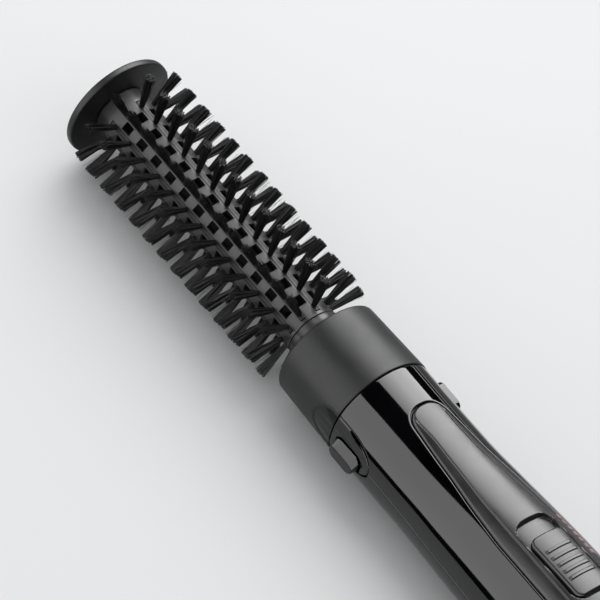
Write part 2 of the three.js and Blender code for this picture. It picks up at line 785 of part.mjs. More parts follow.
function switchBody() {
  return join([
    box(SEAM + 70, SEAM + 87.5, -4.6, 4.6, 15.6, 17.4),
    box(SEAM + 72, SEAM + 75, -1.5, 1.5, 15.55, 15.7),
  ]);
}

// Ridged thumb slider with a stem down to the switch.
function switchSlider() {
  const positions = [SLIDER_FRONT, SLIDER_FRONT + 0.8];
  for (let i = 0; i < RIDGES; i += 1) {
    const u = SLIDER_FRONT + 5.2 + i * RIDGE_PITCH;
    positions.push(u, u + 0.5, u + 1.1, u + 1.6);
  }
  positions.push(SLIDER_REAR - 0.8, SLIDER_REAR);
  const high = (u, y, edge) => {
    const sinceFirst = u - SLIDER_FRONT - 5.2;
    const phase = sinceFirst - Math.floor(sinceFirst / RIDGE_PITCH + 1e-6) * RIDGE_PITCH;
    const onRidge = sinceFirst > -0.01 && sinceFirst < RIDGES * RIDGE_PITCH && phase > 0.3 && phase < 1.3;
    const end = Math.min(u - SLIDER_FRONT, SLIDER_REAR - u) < 0.1 ? -0.5 : 0;
    const rim = Math.abs(y) > edge - 0.05 ? -0.35 : 0;
    return 1.15 + end + rim + (onRidge && rim === 0 ? 0.45 : 0);
  };
  const slab = surfaceSlab(positions, () => SLIDER_HALF_W, -PANEL_SINK + 0.1, high, 6);
  const plan = roundedPlan(SEAM + SLIDER_FRONT, SEAM + SLIDER_REAR, SLIDER_HALF_W, 2.2, 2);
  const cap = common(slab, planPrism(plan, 10, 30));
  const stem = box(SEAM + 79.2, SEAM + 87.2, -1.5, 1.5, 17.8, 21.6);
  return join([cap, stem]);
}

// ---------- rear end ----------
function rearCap() {
  const body = revolve([
    [SHELL_END + GAP, 14.4], [SHELL_END + GAP, 16.3], [CAP_END - 1.6, 15.6], [CAP_END - 0.4, 14.6],
    [CAP_END, 13.4], [CAP_END, 5.3], [CAP_END - 2, 5.3], [CAP_END - 2, 13.2],
  ], 28);
  const tools = [];
  for (let i = 0; i < 14; i += 1) {
    tools.push(spin(box(CAP_END - 4, CAP_END + 1, -0.8, 0.8, 7.6, 12.4), ((i + 0.5) * Math.PI) / 7));
  }
  return cut(body, tools);
}

function inletScreen() {
  return revolve([
    [CAP_END - 3.2, 7.2], [CAP_END - 3.2, 12.8], [CAP_END - 2.5, 12.8], [CAP_END - 2.5, 7.2],
  ], 16);
}

function glandWasher() {
  return revolve([
    [CAP_END - 3.2, 5.1], [CAP_END - 3.2, 6.8], [CAP_END - 2.4, 6.8], [CAP_END - 2.4, 5.1],
  ], 14);
}

function cordGland() {
  return revolve([
    [CAP_END - 6, GLAND_BORE], [CAP_END - 6, 6.4], [CAP_END - 3.6, 6.4], [CAP_END - 3.6, 4.8],
    [CAP_END + 0.4, 4.8], [CAP_END + 0.4, 7.4], [CAP_END + 1.6, 7.8], [CAP_END + 3, 7.4],
    [GLAND_END - 0.6, 5.9], [GLAND_END, 5.3], [GLAND_END, GLAND_BORE],
  ], 20);
}

// ---------- build ----------
add('end_disc', endDisc(), matt);
add('tip_plug', tipPlug(), matt);
add('tip_screw', tipScrew(), steel);
add('core_rod', coreRod(), matt);
add('barrel', barrel(), satin);
const strip = bristleStrip();
for (let i = 0; i < ROWS; i += 1) {
  const name = `bristle_row_${String(i + 1).padStart(2, '0')}`;
  add(name, spin(strip, ROW_PHASE + (i * 2 * Math.PI) / ROWS), bristle);
}
add('barrel_base', barrelBase(), matt);
add('collar', collar(), matt);
add('collar_liner', collarLiner(), matt);
add('upper_shell', upperShell(), gloss);
add('lower_shell', lowerShell(), gloss);
add('top_panel', topPanel(), satin);
for (const [side, label] of [[-1, 'left'], [1, 'right']]) {
  add(`button_surround_${label}`, buttonSurround(side), gloss);
  add(`release_button_${label}`, releaseButton(side), gloss);
  add(`latch_spring_${label}`, latchSpring(side), steel);
}
add('front_bulkhead', frontBulkhead(), matt);
add('nozzle_tube', nozzleTube(), steel);
add('mica_frame', micaFrame(), mica);
add('heater_coil', heaterCoil(), steel);
add('thermostat', thermostat(), white);
add('thermal_fuse', thermalFuse(), brass);
add('fan_duct', fanDuct(), matt);
add('fan_impeller', fanImpeller(), white);
add('fan_shaft', fanShaft(), steel);
add('motor', motor(), steel);
add('motor_mount', motorMount(), matt);
add('rectifier_board', rectifierBoard(), board);
add('switch_body', switchBody(), matt);
add('switch_slider', switchSlider(), satin);
add('case_screw_front', caseScrew(SCREWS[0]), steel);
add('case_screw_rear', caseScrew(SCREWS[1]), steel);
add('rear_cap', rearCap(), matt);
add('inlet_screen', inletScreen(), steel);
add('gland_washer', glandWasher(), steel);
add('cord_gland', cordGland(), matt);

// Origin: centre of the bounding box in plan, lowest point at Z = 0.
const bounds = new THREE.Box3().setFromObject(group);
const shift = new THREE.Vector3(
  -(bounds.min.x + bounds.max.x) / 2,
  -(bounds.min.y + bounds.max.y) / 2,
  -bounds.min.z,
);
for (const mesh of group.children) mesh.geometry.translate(shift.x, shift.y, shift.z);

export default group;
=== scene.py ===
"""Hot air brush: the visual model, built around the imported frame.

Shapes are written in millimetres from the brush tip, with the brush axis as X and +Z up,
and place() puts them in the frame in metres.
"""
import math
import random

import bmesh
import bpy
import numpy as np
from mathutils import Matrix, Vector


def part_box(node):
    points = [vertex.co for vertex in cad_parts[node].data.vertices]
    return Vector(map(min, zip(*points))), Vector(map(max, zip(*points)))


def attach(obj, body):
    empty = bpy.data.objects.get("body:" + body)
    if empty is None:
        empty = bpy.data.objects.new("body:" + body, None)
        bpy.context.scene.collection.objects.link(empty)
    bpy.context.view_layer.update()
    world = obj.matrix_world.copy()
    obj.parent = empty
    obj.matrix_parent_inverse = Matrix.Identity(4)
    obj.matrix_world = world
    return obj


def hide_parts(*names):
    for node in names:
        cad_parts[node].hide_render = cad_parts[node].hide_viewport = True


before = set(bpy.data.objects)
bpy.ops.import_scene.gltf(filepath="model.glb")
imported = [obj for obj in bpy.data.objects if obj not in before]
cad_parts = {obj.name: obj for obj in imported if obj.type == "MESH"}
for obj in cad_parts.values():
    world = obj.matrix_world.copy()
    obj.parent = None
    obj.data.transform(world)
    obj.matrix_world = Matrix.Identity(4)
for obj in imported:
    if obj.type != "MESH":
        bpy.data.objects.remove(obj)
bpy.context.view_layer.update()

MM = 0.001
TURN = 2 * math.pi

# ---------- places taken from the frame ----------
disc_low, disc_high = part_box("end_disc")
TIP_X = disc_low.x
AXIS_Z = (disc_low.z + disc_high.z) / 2


def place(point):
    return (TIP_X + point[0] * MM, point[1] * MM, AXIS_Z + point[2] * MM)


def span(node):
    """First and last distance of a CAD node from the brush tip, in mm."""
    low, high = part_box(node)
    return (low.x - TIP_X) / MM, (high.x - TIP_X) / MM


def radius_of(node):
    """Half the width of a round CAD node, in mm."""
    low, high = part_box(node)
    return (high.y - low.y) / 2 / MM


DISC_R = radius_of("end_disc")
BARREL_START, BARREL_END = span("barrel")
COLLAR_START, COLLAR_END = span("collar")
SEAM, SHELL_END = span("upper_shell")
CAP_START, CAP_END = span("rear_cap")
GLAND_START, GLAND_END = span("cord_gland")
HANDLE_LENGTH = SHELL_END - SEAM

# ---------- driving dimensions (mm) ----------
GAP = 0.3
BARREL_R = 8.6
BARREL_WALL = 1.1
ROWS = 10
ROW_PHASE = math.radians(4.5)
TUFTS = 13
TUFT_PITCH = 7.1
FIRST_TUFT = 9.9
BRISTLE_R = 20.1
STRIP_HALF = 0.8
STRIP_TOP = 8.55
STRIP_FOOT = 5.7
STRIP_START, STRIP_END = 8.0, 97.0
STRIP_SLACK = 0.06
FILAMENTS = 54
FILAMENT_R = 0.14
FILAMENT_FOOT = 0.3
STRAYS = 8
STRAY_R = 0.06
GOLDEN_ANGLE = 2.39996
VENT_X = 3.4
VENT_W = 2.75
COLLAR_FRONT_R = 17.2
COLLAR_REAR_R = 18.0
COLLAR_BORE = 16.2
RELIEF_LENGTH = 8.4
RELIEF_HALF = 6.7
SHELL_T = 2.2
UNDERSIDE = 19.96
ARC_STEPS = 44
BOAT_LENGTH = 17.0
BOAT_HALF = 6.2
BOAT_RIDGE_Z = 2.3
BOAT_RIDGE_Y = 17.55
BOAT_UPPER_LEAN = 15.7
BOAT_LOWER_LEAN = 3.0
BOAT_BACK = 14.6
PANEL_START, PANEL_END = 13.5, 158.0
PANEL_RAISE = 0.5
PANEL_SINK = 1.2
PANEL_ROWS = 70
NOSE_REACH = 6.5
NOSE_POWER = 2.6
TAIL_REACH = 9.0
TAIL_POWER = 2.4
RECESS_FRONT, RECESS_REAR = 61.5, 92.0
RECESS_HALF = 6.6
RECESS_CORNER = 4.2
RECESS_DEPTH = 1.3
SLIDER_FRONT, SLIDER_REAR = 68.4, 91.0
SLIDER_HALF = 6.0
SLIDER_RISE = 1.15
SLIDER_CORNER = 2.3
SLIDER_FOOT = 0.55
SLIDER_ROWS = 72
RIDGES = 5
RIDGE_PITCH = 2.6
RIDGES_START = 5.2
RIDGE_HEIGHT = 0.42
BUTTON_MIDDLE = 7.8
BUTTON_LENGTH = 11.0
BUTTON_HALF = 3.1
BUTTON_DROP = 1.9
BUTTON_CORNER = 2.6
BUTTON_FACE = 19.7
SCREWS = (105.0, 172.0)
POST_R = 3.6
SEAT_R = 3.0
SEAT_DEPTH = 4.0
BORE_R = 1.6
PARTING_HALF = 0.12

# Handle profile: distance behind the seam, half width, top and bottom height.
HANDLE_PROFILE = (
    (0, 17.8, 17.8, 17.8), (12, 17.6, 17.8, 17.9), (30, 17.7, 18.0, 17.6), (45, 18.3, 19.2, 17.3),
    (60, 18.9, 20.8, 17.2), (75, 19.4, 22.0, 17.5), (90, 19.8, 22.5, 18.6), (108, 20.1, 22.3, 21.3),
    (130, 19.9, 21.2, 21.3), (150, 19.2, 19.7, 20.6), (168, 18.0, 18.0, 18.6), (180, 17.0, 17.0, 17.2),
    (188, 16.4, 16.4, 16.4),
)
# Half width of the raised top panel away from its round ends, and of its bevelled edge strip.
PANEL_HALF = ((13, 5.8), (20, 6.3), (26, 6.9), (36, 7.85), (51, 9.8), (66, 11.1), (90, 11.6), (115, 11.4),
              (135, 10.2), (148, 8.9), (158, 7.4))
CREASE_INSET = ((13, 0.3), (15, 0.5), (20, 1.5), (26, 2.3), (51, 3.0), (66, 3.5), (115, 3.4), (148, 2.4),
                (158, 0.4))


# ---------- numeric helpers ----------
def curve(table, column, at):
    """Monotone cubic interpolation of a column of a table whose first column is the position."""
    last = len(table) - 1
    if at <= table[0][0]:
        return table[0][column]
    if at >= table[last][0]:
        return table[last][column]
    i = 0
    while table[i + 1][0] < at:
        i += 1

    def slope(k):
        return (table[k + 1][column] - table[k][column]) / (table[k + 1][0] - table[k][0])

    def tangent(k):
        if k == 0:
            return slope(0)
        if k == last:
            return slope(last - 1)
        before, after = slope(k - 1), slope(k)
        return 0 if before * after <= 0 else 2 * before * after / (before + after)

    h = table[i + 1][0] - table[i][0]
    t = (at - table[i][0]) / h
    start = (2 * t ** 3 - 3 * t ** 2 + 1) * table[i][column] + (t ** 3 - 2 * t ** 2 + t) * h * tangent(i)
    end = (3 * t ** 2 - 2 * t ** 3) * table[i + 1][column] + (t ** 3 - t ** 2) * h * tangent(i + 1)
    return start + end


def half_width(u):
    return curve(HANDLE_PROFILE, 1, u)


def half_height(u, side):
    return curve(HANDLE_PROFILE, 2 if side > 0 else 3, u)


def top_surface(u, y):
    return half_height(u, 1) * math.sqrt(max(0.0, 1 - (y / half_width(u)) ** 2))


def smooth(t):
    t = min(1.0, max(0.0, t))
    return t * t * (3 - 2 * t)


def spread(start, end, step):
    """Evenly spaced values from start to end, about step apart."""
    count = max(1, round((end - start) / step))
    return [start + (end - start) * i / count for i in range(count + 1)]


def thinned(values, least):
    """Sorted values, without those closer than least to the one before."""
    kept = []
    for v in sorted(values):
        if not kept or v - kept[-1] > least:
            kept.append(v)
    return kept


def stations(*stretches):
    """Sorted positions from several (start, end, step) stretches."""
    return thinned([v for stretch in stretches for v in spread(*stretch)], 0.015)


def nearest(points, outline):
    """Distance of each 2-D point from a closed outline, negative inside it."""
    p = np.asarray(points, float)[:, None, :]
    a = np.asarray(outline, float)[None, :, :]
    b = np.roll(a, -1, axis=1)
    ab = b - a
    length = np.maximum((ab ** 2).sum(-1), 1e-12)
    t = np.clip(((p - a) * ab).sum(-1) / length, 0, 1)
    gap = np.sqrt(((p - a - ab * t[..., None]) ** 2).sum(-1)).min(1)
    rises = (a[..., 1] > p[..., 1]) != (b[..., 1] > p[..., 1])
    run = np.where(np.abs(ab[..., 1]) < 1e-12, 1e-12, ab[..., 1])
    cross = a[..., 0] + (p[..., 1] - a[..., 1]) * ab[..., 0] / run
    inside = (rises & (p[..., 0] < cross)).sum(1) % 2 == 1
    return np.where(inside, -gap, gap)


def distances(points, outline, chunk=1500):
    parts = [nearest(points[i:i + chunk], outline) for i in range(0, len(points), chunk)]
    return np.concatenate(parts)


# ---------- mesh helpers ----------
def link(obj):
    bpy.context.scene.collection.objects.link(obj)


def finish_mesh(obj, sharp):
    mesh = obj.data
    bm = bmesh.new()
    bm.from_mesh(mesh)
    bmesh.ops.remove_doubles(bm, verts=bm.verts, dist=2e-7)
    bmesh.ops.dissolve_degenerate(bm, edges=bm.edges, dist=1e-8)
    bmesh.ops.recalc_face_normals(bm, faces=bm.faces)
    bm.to_mesh(mesh)
    bm.free()
    mesh.polygons.foreach_set("use_smooth", [True] * len(mesh.polygons))
    mesh.set_sharp_from_angle(angle=math.radians(sharp))
    mesh.update()


def raw_object(name, points, faces):
    """Mesh object from points in mm from the brush tip."""
    mesh = bpy.data.meshes.new(name)
    mesh.from_pydata([place(p) for p in points], [], faces)
    obj = bpy.data.objects.new(name, mesh)
    link(obj)
    return obj


def apply_modifiers(obj):
    graph = bpy.context.evaluated_depsgraph_get()
    baked = bpy.data.meshes.new_from_object(obj.evaluated_get(graph))
    obj.modifiers.clear()
    obj.data = baked


def cut(obj, cutters, operation="DIFFERENCE", solver="EXACT"):
    """Cuts closed objects from obj, or joins them to it, and removes them."""
    for cutter in cutters:
        finish_mesh(cutter, 40)
        modifier = obj.modifiers.new("cut", "BOOLEAN")
        modifier.operation = operation
        modifier.solver = solver
        modifier.object = cutter
        apply_modifiers(obj)
        bpy.data.objects.remove(cutter)


def install(obj, body, material, nodes, sharp=32):
    """Gives a piece its finish and its body, and hides the CAD nodes that it stands for."""
    finish_mesh(obj, sharp)
    obj.data.materials.clear()
    obj.data.materials.append(material)
    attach(obj, body)
    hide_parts(*nodes)
    return obj


def second_finish(obj, material, chosen):
    """Gives another material to the faces whose centre, in mm from the tip, passes the test."""
    obj.data.materials.append(material)
    for face in obj.data.polygons:
        x, y, z = face.center
        if chosen((x - TIP_X) / MM, y / MM, (z - AXIS_Z) / MM):
            face.material_index = 1


def loft(rings, close=True, caps=True):
    """Quads between rings of equal point count; close joins each ring's last point to its first."""
    n = len(rings[0])
    points = [p for ring in rings for p in ring]
    faces = []
    for k in range(len(rings) - 1):
        for i in range(n if close else n - 1):
            j = (i + 1) % n
            faces.append((k * n + i, k * n + j, (k + 1) * n + j, (k + 1) * n + i))
    if caps:
        faces.append(tuple(range(n)))
        faces.append(tuple((len(rings) - 1) * n + i for i in range(n)))
    return points, faces


def rounded(outline, radius, steps=4, closed=True):
    """Rounds the corners of a 2-D outline; radius may be a number or one for each corner."""
    n = len(outline)
    result = []
    for i, (x, r) in enumerate(outline):
        wanted = radius[i] if isinstance(radius, (list, tuple)) else radius
        at_end = not closed and i in (0, n - 1)
        if wanted <= 0 or at_end or r < 1e-6:
            result.append((x, r))
            continue
        here = Vector((x, r))
        before, after = Vector(outline[i - 1]), Vector(outline[(i + 1) % n])
        reach = min(wanted, (before - here).length * 0.45, (after - here).length * 0.45)
        start = here + (before - here).normalized() * reach
        end = here + (after - here).normalized() * reach
        for k in range(steps + 1):
            t = k / steps
            point = start * (1 - t) ** 2 + here * 2 * t * (1 - t) + end * t ** 2
            result.append((point.x, point.y))
    return result


def lathe(profile, segments=192):
    """Points and faces of a closed (x, radius) outline turned around the axis."""
    points, rings = [], []
    for x, r in profile:
        if r < 1e-6:
            rings.append([len(points)] * segments)
            points.append((x, 0, 0))
            continue
        rings.append([len(points) + i for i in range(segments)])
        turns = [TURN * i / segments for i in range(segments)]
        points += [(x, r * math.sin(t), r * math.cos(t)) for t in turns]
    faces = []
    for k, ring in enumerate(rings):
        following = rings[(k + 1) % len(rings)]
        if ring[0] == ring[1] and following[0] == following[1]:
            continue
        for i in range(segments):
            j = (i + 1) % segments
            corners = (ring[i], ring[j], following[j], following[i])
            faces.append(tuple(dict.fromkeys(corners)))
    return points, faces


def spin(point, angle):
    """Turns a point about the axis from +Z towards +Y."""
    x, y, z = point
    c, s = math.cos(angle), math.sin(angle)
    return (x, y * c + z * s, z * c - y * s)


def prism(name, plan, low, high, sideways=False):
    """Closed prism on an (x, across) outline, along Z or, if sideways, along Y; used to cut or join."""
    rings = [[(x, h, a) if sideways else (x, a, h) for x, a in plan] for h in (low, high)]
    return raw_object(name, *loft(rings))


def bar(name, radius, x, low, high, segments=48):
    """Closed round bar along Z through the axis."""
    turns = [TURN * i / segments for i in range(segments)]
    return prism(name, [(x + radius * math.cos(t), radius * math.sin(t)) for t in turns], low, high)


def rectangle(x0, x1, half):
    return [(x0, -half), (x1, -half), (x1, half), (x0, half)]


def plan_outline(x0, x1, half, radius, steps=8, middle=0.0):
    """Rounded rectangle as (x, across) pairs."""
    result = []
    for corner in range(4):
        cx = x1 - radius if corner in (0, 3) else x0 + radius
        cy = (half - radius) * (1 if corner < 2 else -1)
        for i in range(steps + 1):
            t = (corner + i / steps) * math.pi / 2
            result.append((cx + radius * math.cos(t), middle + cy + radius * math.sin(t)))
    return result


# ---------- materials ----------
class Look:
    """A node material whose colour, roughness and relief vary with noise in the object's own space."""

    def __init__(self, name, metallic=0.0, specular=0.5):
        self.material = bpy.data.materials.new(name)
        self.material.use_nodes = True
        self.nodes = self.material.node_tree.nodes
        self.links = self.material.node_tree.links
        self.shader = self.nodes["Principled BSDF"]
        self.shader.inputs["Metallic"].default_value = metallic
        self.shader.inputs["Specular IOR Level"].default_value = specular
        self.shader.inputs["IOR"].default_value = 1.5
        self.space = self.nodes.new("ShaderNodeTexCoord").outputs["Object"]
        self.height = None

    def stretched(self, scale):
        mapping = self.nodes.new("ShaderNodeMapping")
        mapping.inputs["Scale"].default_value = scale
        self.links.new(self.space, mapping.inputs["Vector"])
        return mapping.outputs["Vector"]

    def noise(self, scale, detail=4.0, stretch=None):
        node = self.nodes.new("ShaderNodeTexNoise")
        node.inputs["Scale"].default_value = scale
        node.inputs["Detail"].default_value = detail
        self.links.new(self.stretched(stretch) if stretch else self.space, node.inputs["Vector"])
        return node.outputs["Fac"]

    def between(self, value, low, high, start=0.3, end=0.7):
        node = self.nodes.new("ShaderNodeMapRange")
        for socket, limit in (("From Min", start), ("From Max", end), ("To Min", low), ("To Max", high)):
            node.inputs[socket].default_value = limit
        self.links.new(value, node.inputs["Value"])
        return node.outputs["Result"]

    def mixed(self, factor, first, second):
        node = self.nodes.new("ShaderNodeMix")
        node.data_type = "RGBA"
        for socket, value in ((node.inputs[6], first), (node.inputs[7], second)):
            if isinstance(value, bpy.types.NodeSocket):
                self.links.new(value, socket)
            else:
                socket.default_value = (*value, 1)
        self.links.new(factor, node.inputs[0])
        return node.outputs[2]

    def colour(self, value, first, second, start=0.3, end=0.7):
        self.links.new(self.mixed(self.between(value, 0, 1, start, end), first, second),
                       self.shader.inputs["Base Color"])

    def roughness(self, value, low, high, start=0.3, end=0.7):
        self.links.new(self.between(value, low, high, start, end), self.shader.inputs["Roughness"])

    def relief(self, value, depth, strength=1.0):
        """Adds a bump of that depth in mm; calls stack."""
        node = self.nodes.new("ShaderNodeBump")
        node.inputs["Distance"].default_value = depth * MM
        node.inputs["Strength"].default_value = strength
        self.links.new(value, node.inputs["Height"])
        if self.height is not None:
            self.links.new(self.height, node.inputs["Normal"])
        self.height = node.outputs["Normal"]
        self.links.new(self.height, self.shader.inputs["Normal"])


def moulded(name, dark, light, rough, grain=2600.0, depth=0.012, specular=0.5):
    """Spark-eroded moulded plastic or satin paint with a fine even grain and soft rub marks."""
    look = Look(name, specular=specular)
    look.colour(look.noise(55.0, 6.0), dark, light)
    look.roughness(look.noise(130.0, 5.0), rough - 0.04, rough + 0.05)
    look.relief(look.noise(grain, 3.0), depth)
    look.relief(look.noise(210.0, 2.0), depth * 1.5, 0.5)
    return look.material


def piano_black():
    look = Look("piano_black")
    look.colour(look.noise(40.0, 4.0), (0.0010, 0.0010, 0.0014), (0.0022, 0.0022, 0.0028))
    look.roughness(look.noise(90.0, 6.0), 0.045, 0.085)
    look.relief(look.noise(95.0, 1.0), 0.006, 0.5)
    return look.material


def bristle_nylon():
    look = Look("nylon", 0.0, 0.3)
    look.colour(look.noise(480.0, 4.0), (0.0018, 0.0014, 0.0017), (0.008, 0.0066, 0.0074))
    look.roughness(look.noise(900.0, 2.0), 0.34, 0.5)
    look.relief(look.noise(2500.0, 2.0), 0.01)
    return look.material


def brushed_metal(name, dark, light, rough, stretch=(40.0, 900.0, 900.0)):
    look = Look(name, 1.0)
    look.colour(look.noise(120.0, 5.0), dark, light)
    look.roughness(look.noise(1.0, 4.0, stretch), rough - 0.06, rough + 0.12)
    look.relief(look.noise(1.0, 3.0, stretch), 0.008, 0.6)
    return look.material


def layered_board(name, dark, light, rough):
    look = Look(name)
    look.colour(look.noise(1.0, 5.0, (90.0, 500.0, 500.0)), dark, light)
    look.roughness(look.noise(300.0), rough - 0.08, rough + 0.08)
    look.relief(look.noise(700.0, 5.0), 0.03)
    return look.material


MATT = moulded("matt_black_plastic", (0.007, 0.0074, 0.0074), (0.010, 0.0104, 0.0104), 0.43, specular=0.32)
DISC = moulded("matt_black_disc", (0.0045, 0.0045, 0.005), (0.007, 0.0068, 0.0075), 0.42, specular=0.36)
SATIN = moulded("satin_grey_paint", (0.012, 0.0114, 0.0116), (0.017, 0.0162, 0.0162), 0.30,
                grain=3400.0, depth=0.006, specular=0.50)
BARREL = moulded("barrel_satin_grey", (0.019, 0.019, 0.0195), (0.027, 0.027, 0.0275), 0.34,
                 grain=2400.0, depth=0.008, specular=0.48)
INNER = moulded("inner_black_plastic", (0.004, 0.004, 0.004), (0.008, 0.008, 0.008), 0.6,
                grain=1500.0, depth=0.02, specular=0.2)
# Polished finish for the collar's button pocket: the low roughness is the finish, and the colour a little
# darker than the matt black is painted shade in the recess.
POLISHED_POCKET_PAINTED_SHADE = moulded("polished_pocket_painted_shade", (0.006, 0.0062, 0.0062), (0.008, 0.0082, 0.0082), 0.17,
                 depth=0.004, specular=0.3)
GLOSS = piano_black()
NYLON = bristle_nylon()
STEEL = brushed_metal("brushed_steel", (0.42, 0.43, 0.44), (0.62, 0.62, 0.63), 0.28)
BRASS = brushed_metal("brass_terminal", (0.55, 0.42, 0.20), (0.72, 0.58, 0.30), 0.3)
MICA = layered_board("mica_sheet", (0.42, 0.36, 0.26), (0.66, 0.60, 0.48), 0.5)
CIRCUIT = layered_board("circuit_board", (0.015, 0.09, 0.045), (0.03, 0.15, 0.075), 0.42)
FAN_WHITE = moulded("fan_white_plastic", (0.62, 0.62, 0.60), (0.74, 0.74, 0.72), 0.5)
RED = moulded("red_print", (0.22, 0.115, 0.13), (0.30, 0.17, 0.19), 0.5, 1800.0, 0.006)

# ---------- camera, floor and light ----------
VIEW_SLANT = 24.0
VIEW_RISE = 35.0
AXIS_FALL = 49.2
VIEW_DISTANCE = 1.4
VIEW_WIDTH = 7.13
LOOK_AHEAD = 16.7
LOOK_ASIDE = 3.35


def make_camera():
    """Camera on the handle side, to the left and above, turned so that the axis falls to the lower right."""
    slant, rise = math.radians(VIEW_SLANT), math.radians(VIEW_RISE)
    back = Vector((math.sin(slant), -math.cos(slant) * math.sin(rise), math.cos(slant) * math.cos(rise)))
    axis = Vector((1, 0, 0))
    along = (axis - back * axis.dot(back)).normalized()
    across = back.cross(along)
    fall = math.radians(AXIS_FALL)
    right = along * math.cos(fall) + across * math.sin(fall)
    up = across * math.cos(fall) - along * math.sin(fall)
    aside = (0, LOOK_ASIDE * math.cos(rise), LOOK_ASIDE * math.sin(rise))
    target = Vector(place((COLLAR_START - LOOK_AHEAD, aside[1], aside[2])))
    camera = bpy.data.objects.new("camera", bpy.data.cameras.new("camera"))
    camera.data.sensor_width = 36.0
    camera.data.lens = 18.0 / math.tan(math.radians(VIEW_WIDTH / 2))
    camera.data.clip_start = 0.05
    camera.data.clip_end = 50.0
    turn = Matrix((right, up, back)).transposed().to_4x4()
    camera.matrix_world = Matrix.Translation(target + back * VIEW_DISTANCE) @ turn
    link(camera)
    bpy.context.scene.camera = camera


def make_floor():
    look = Look("pale_floor", 0.0, 0.0)
    look.colour(look.noise(6.0, 3.0), (0.80, 0.80, 0.805), (0.82, 0.825, 0.825))
    look.roughness(look.noise(20.0, 3.0), 0.7, 0.8)
    look.relief(look.noise(800.0, 2.0), 0.02, 0.2)
    mesh = bpy.data.meshes.new("floor")
    mesh.from_pydata([(x, y, 0) for x, y in rectangle(-4.0, 4.0, 4.0)], [], [(0, 1, 2, 3)])
    floor = bpy.data.objects.new("floor", mesh)
    mesh.materials.append(look.material)
    link(floor)


def direction(angle):
    """Direction in the Y-Z plane at an angle in degrees from +Z towards +Y."""
    return Vector((0, math.sin(math.radians(angle)), math.cos(math.radians(angle))))


def softbox(name, angle, distance, size, power, lengthways, glossy=True):
    """Area light square to the axis; lengthways is how far it sits towards the handle."""
    data = bpy.data.lights.new(name, "AREA")
    data.shape = "RECTANGLE"
    data.size, data.size_y = size
    data.energy = power
    lamp = bpy.data.objects.new(name, data)
    aim = Vector((-0.07, 0, AXIS_Z))
    lamp.location = aim + direction(angle) * distance + Vector((lengthways, 0, 0))
    back = (lamp.location - aim).normalized()
    side = Vector((1, 0, 0)).cross(back).normalized()
    turn = Matrix((side.cross(back) * -1, side * -1, back)).transposed().to_4x4()
    lamp.matrix_world = Matrix.Translation(lamp.location) @ turn
    lamp.visible_camera = False
    lamp.visible_glossy = glossy
    link(lamp)


def card(name, start, end, x_range, glow, fade=None):
    """Reflector card seen only in reflections, between two (y, z) lines in metres.

    fade holds the y where only a share of the glow is left, the y where it is full, and that share.
    """
    (y0, z0), (y1, z1) = start, end
    x0, x1 = x_range
    mesh = bpy.data.meshes.new(name)
    mesh.from_pydata([(x0, y0, z0), (x1, y0, z0), (x1, y1, z1), (x0, y1, z1)], [], [(0, 1, 2, 3)])
    obj = bpy.data.objects.new(name, mesh)
    material = bpy.data.materials.new(name)
    material.use_nodes = True
    nodes, links = material.node_tree.nodes, material.node_tree.links
    nodes.clear()
    emission = nodes.new("ShaderNodeEmission")
    emission.inputs["Strength"].default_value = glow
    if fade:
        low, high, share = fade
        place_of = nodes.new("ShaderNodeTexCoord")
        split = nodes.new("ShaderNodeSeparateXYZ")
        ramp = nodes.new("ShaderNodeMapRange")
        limits = {"From Min": low, "From Max": high, "To Min": glow * share, "To Max": glow}
        for socket, value in limits.items():
            ramp.inputs[socket].default_value = value
        links.new(place_of.outputs["Object"], split.inputs[0])
        links.new(split.outputs["Y"], ramp.inputs["Value"])
        links.new(ramp.outputs["Result"], emission.inputs["Strength"])
    output = nodes.new("ShaderNodeOutputMaterial")
    links.new(emission.outputs[0], output.inputs[0])
    mesh.materials.append(material)
    obj.visible_camera = False
    obj.visible_diffuse = False
    obj.visible_shadow = False
    obj.visible_transmission = False
    link(obj)


def make_studio():
    scene = bpy.context.scene
    scene.view_settings.view_transform = "Standard"
    world = bpy.data.worlds.new("studio")
    scene.world = world
    world.use_nodes = True
    sky = world.node_tree.nodes["Background"]
    sky.inputs["Color"].default_value = (0.98, 0.99, 1.0, 1)
    sky.inputs["Strength"].default_value = 0.7
    world.cycles_visibility.glossy = False
    softbox("key", 30.0, 1.15, (1.2, 1.4), 9.0, -0.46, False)
    card("key_card", (-0.035, 1.0), (1.06, 0.57), (-1.1, 0.25), 8.6, (-0.04, 0.45, 0.45))
    card("left_card", (-0.106, 0.0012), (-0.55, 0.62), (-1.0, 0.6), 2.9)
    card("left_flag", (-0.106, 0.0008), (-0.069, 0.0008), (-0.6, 0.4), 0.0)
    card("right_flag", (0.07, 0.0008), (0.42, 0.0008), (-0.6, 0.4), 0.25)
    card("right_edge", (0.75, 0.10), (0.75, 0.125), (-1.0, 0.6), 3.0)


# ---------- brush attachment ----------
def end_disc():
    profile = rounded([
        (0, 4.8), (0, DISC_R - 0.6), (0.3, DISC_R - 0.12), (0.8, DISC_R), (2.0, DISC_R),
        (2.4, DISC_R - 0.35), (2.4, 6.9), (7.5, 6.9), (7.5, 1.7), (3.5, 1.7), (3.5, 3.1), (1.5, 3.1),
        (1.5, 4.8),
    ], 0.25, 5)
    disc = raw_object("end_disc_fine", *lathe(profile, 256))
    install(disc, "brush_head", DISC, ["end_disc"], 38)
    plug = raw_object("tip_plug_fine", *lathe(rounded([
        (0.1, 0), (0.1, 3.0), (0.25, 4.2), (0.6, 4.5), (1.2, 4.5), (1.2, 0)], 0.3, 4, closed=False), 128))
    install(plug, "brush_head", DISC, ["tip_plug"], 38)


def barrel_radius(angle):
    """Barrel radius: slightly flattened along the vent rows."""
    phase = ((angle - ROW_PHASE) * ROWS / TURN) % 1.0
    return BARREL_R * (1 - 0.012 * (1 - math.cos(TURN * phase)) / 2)


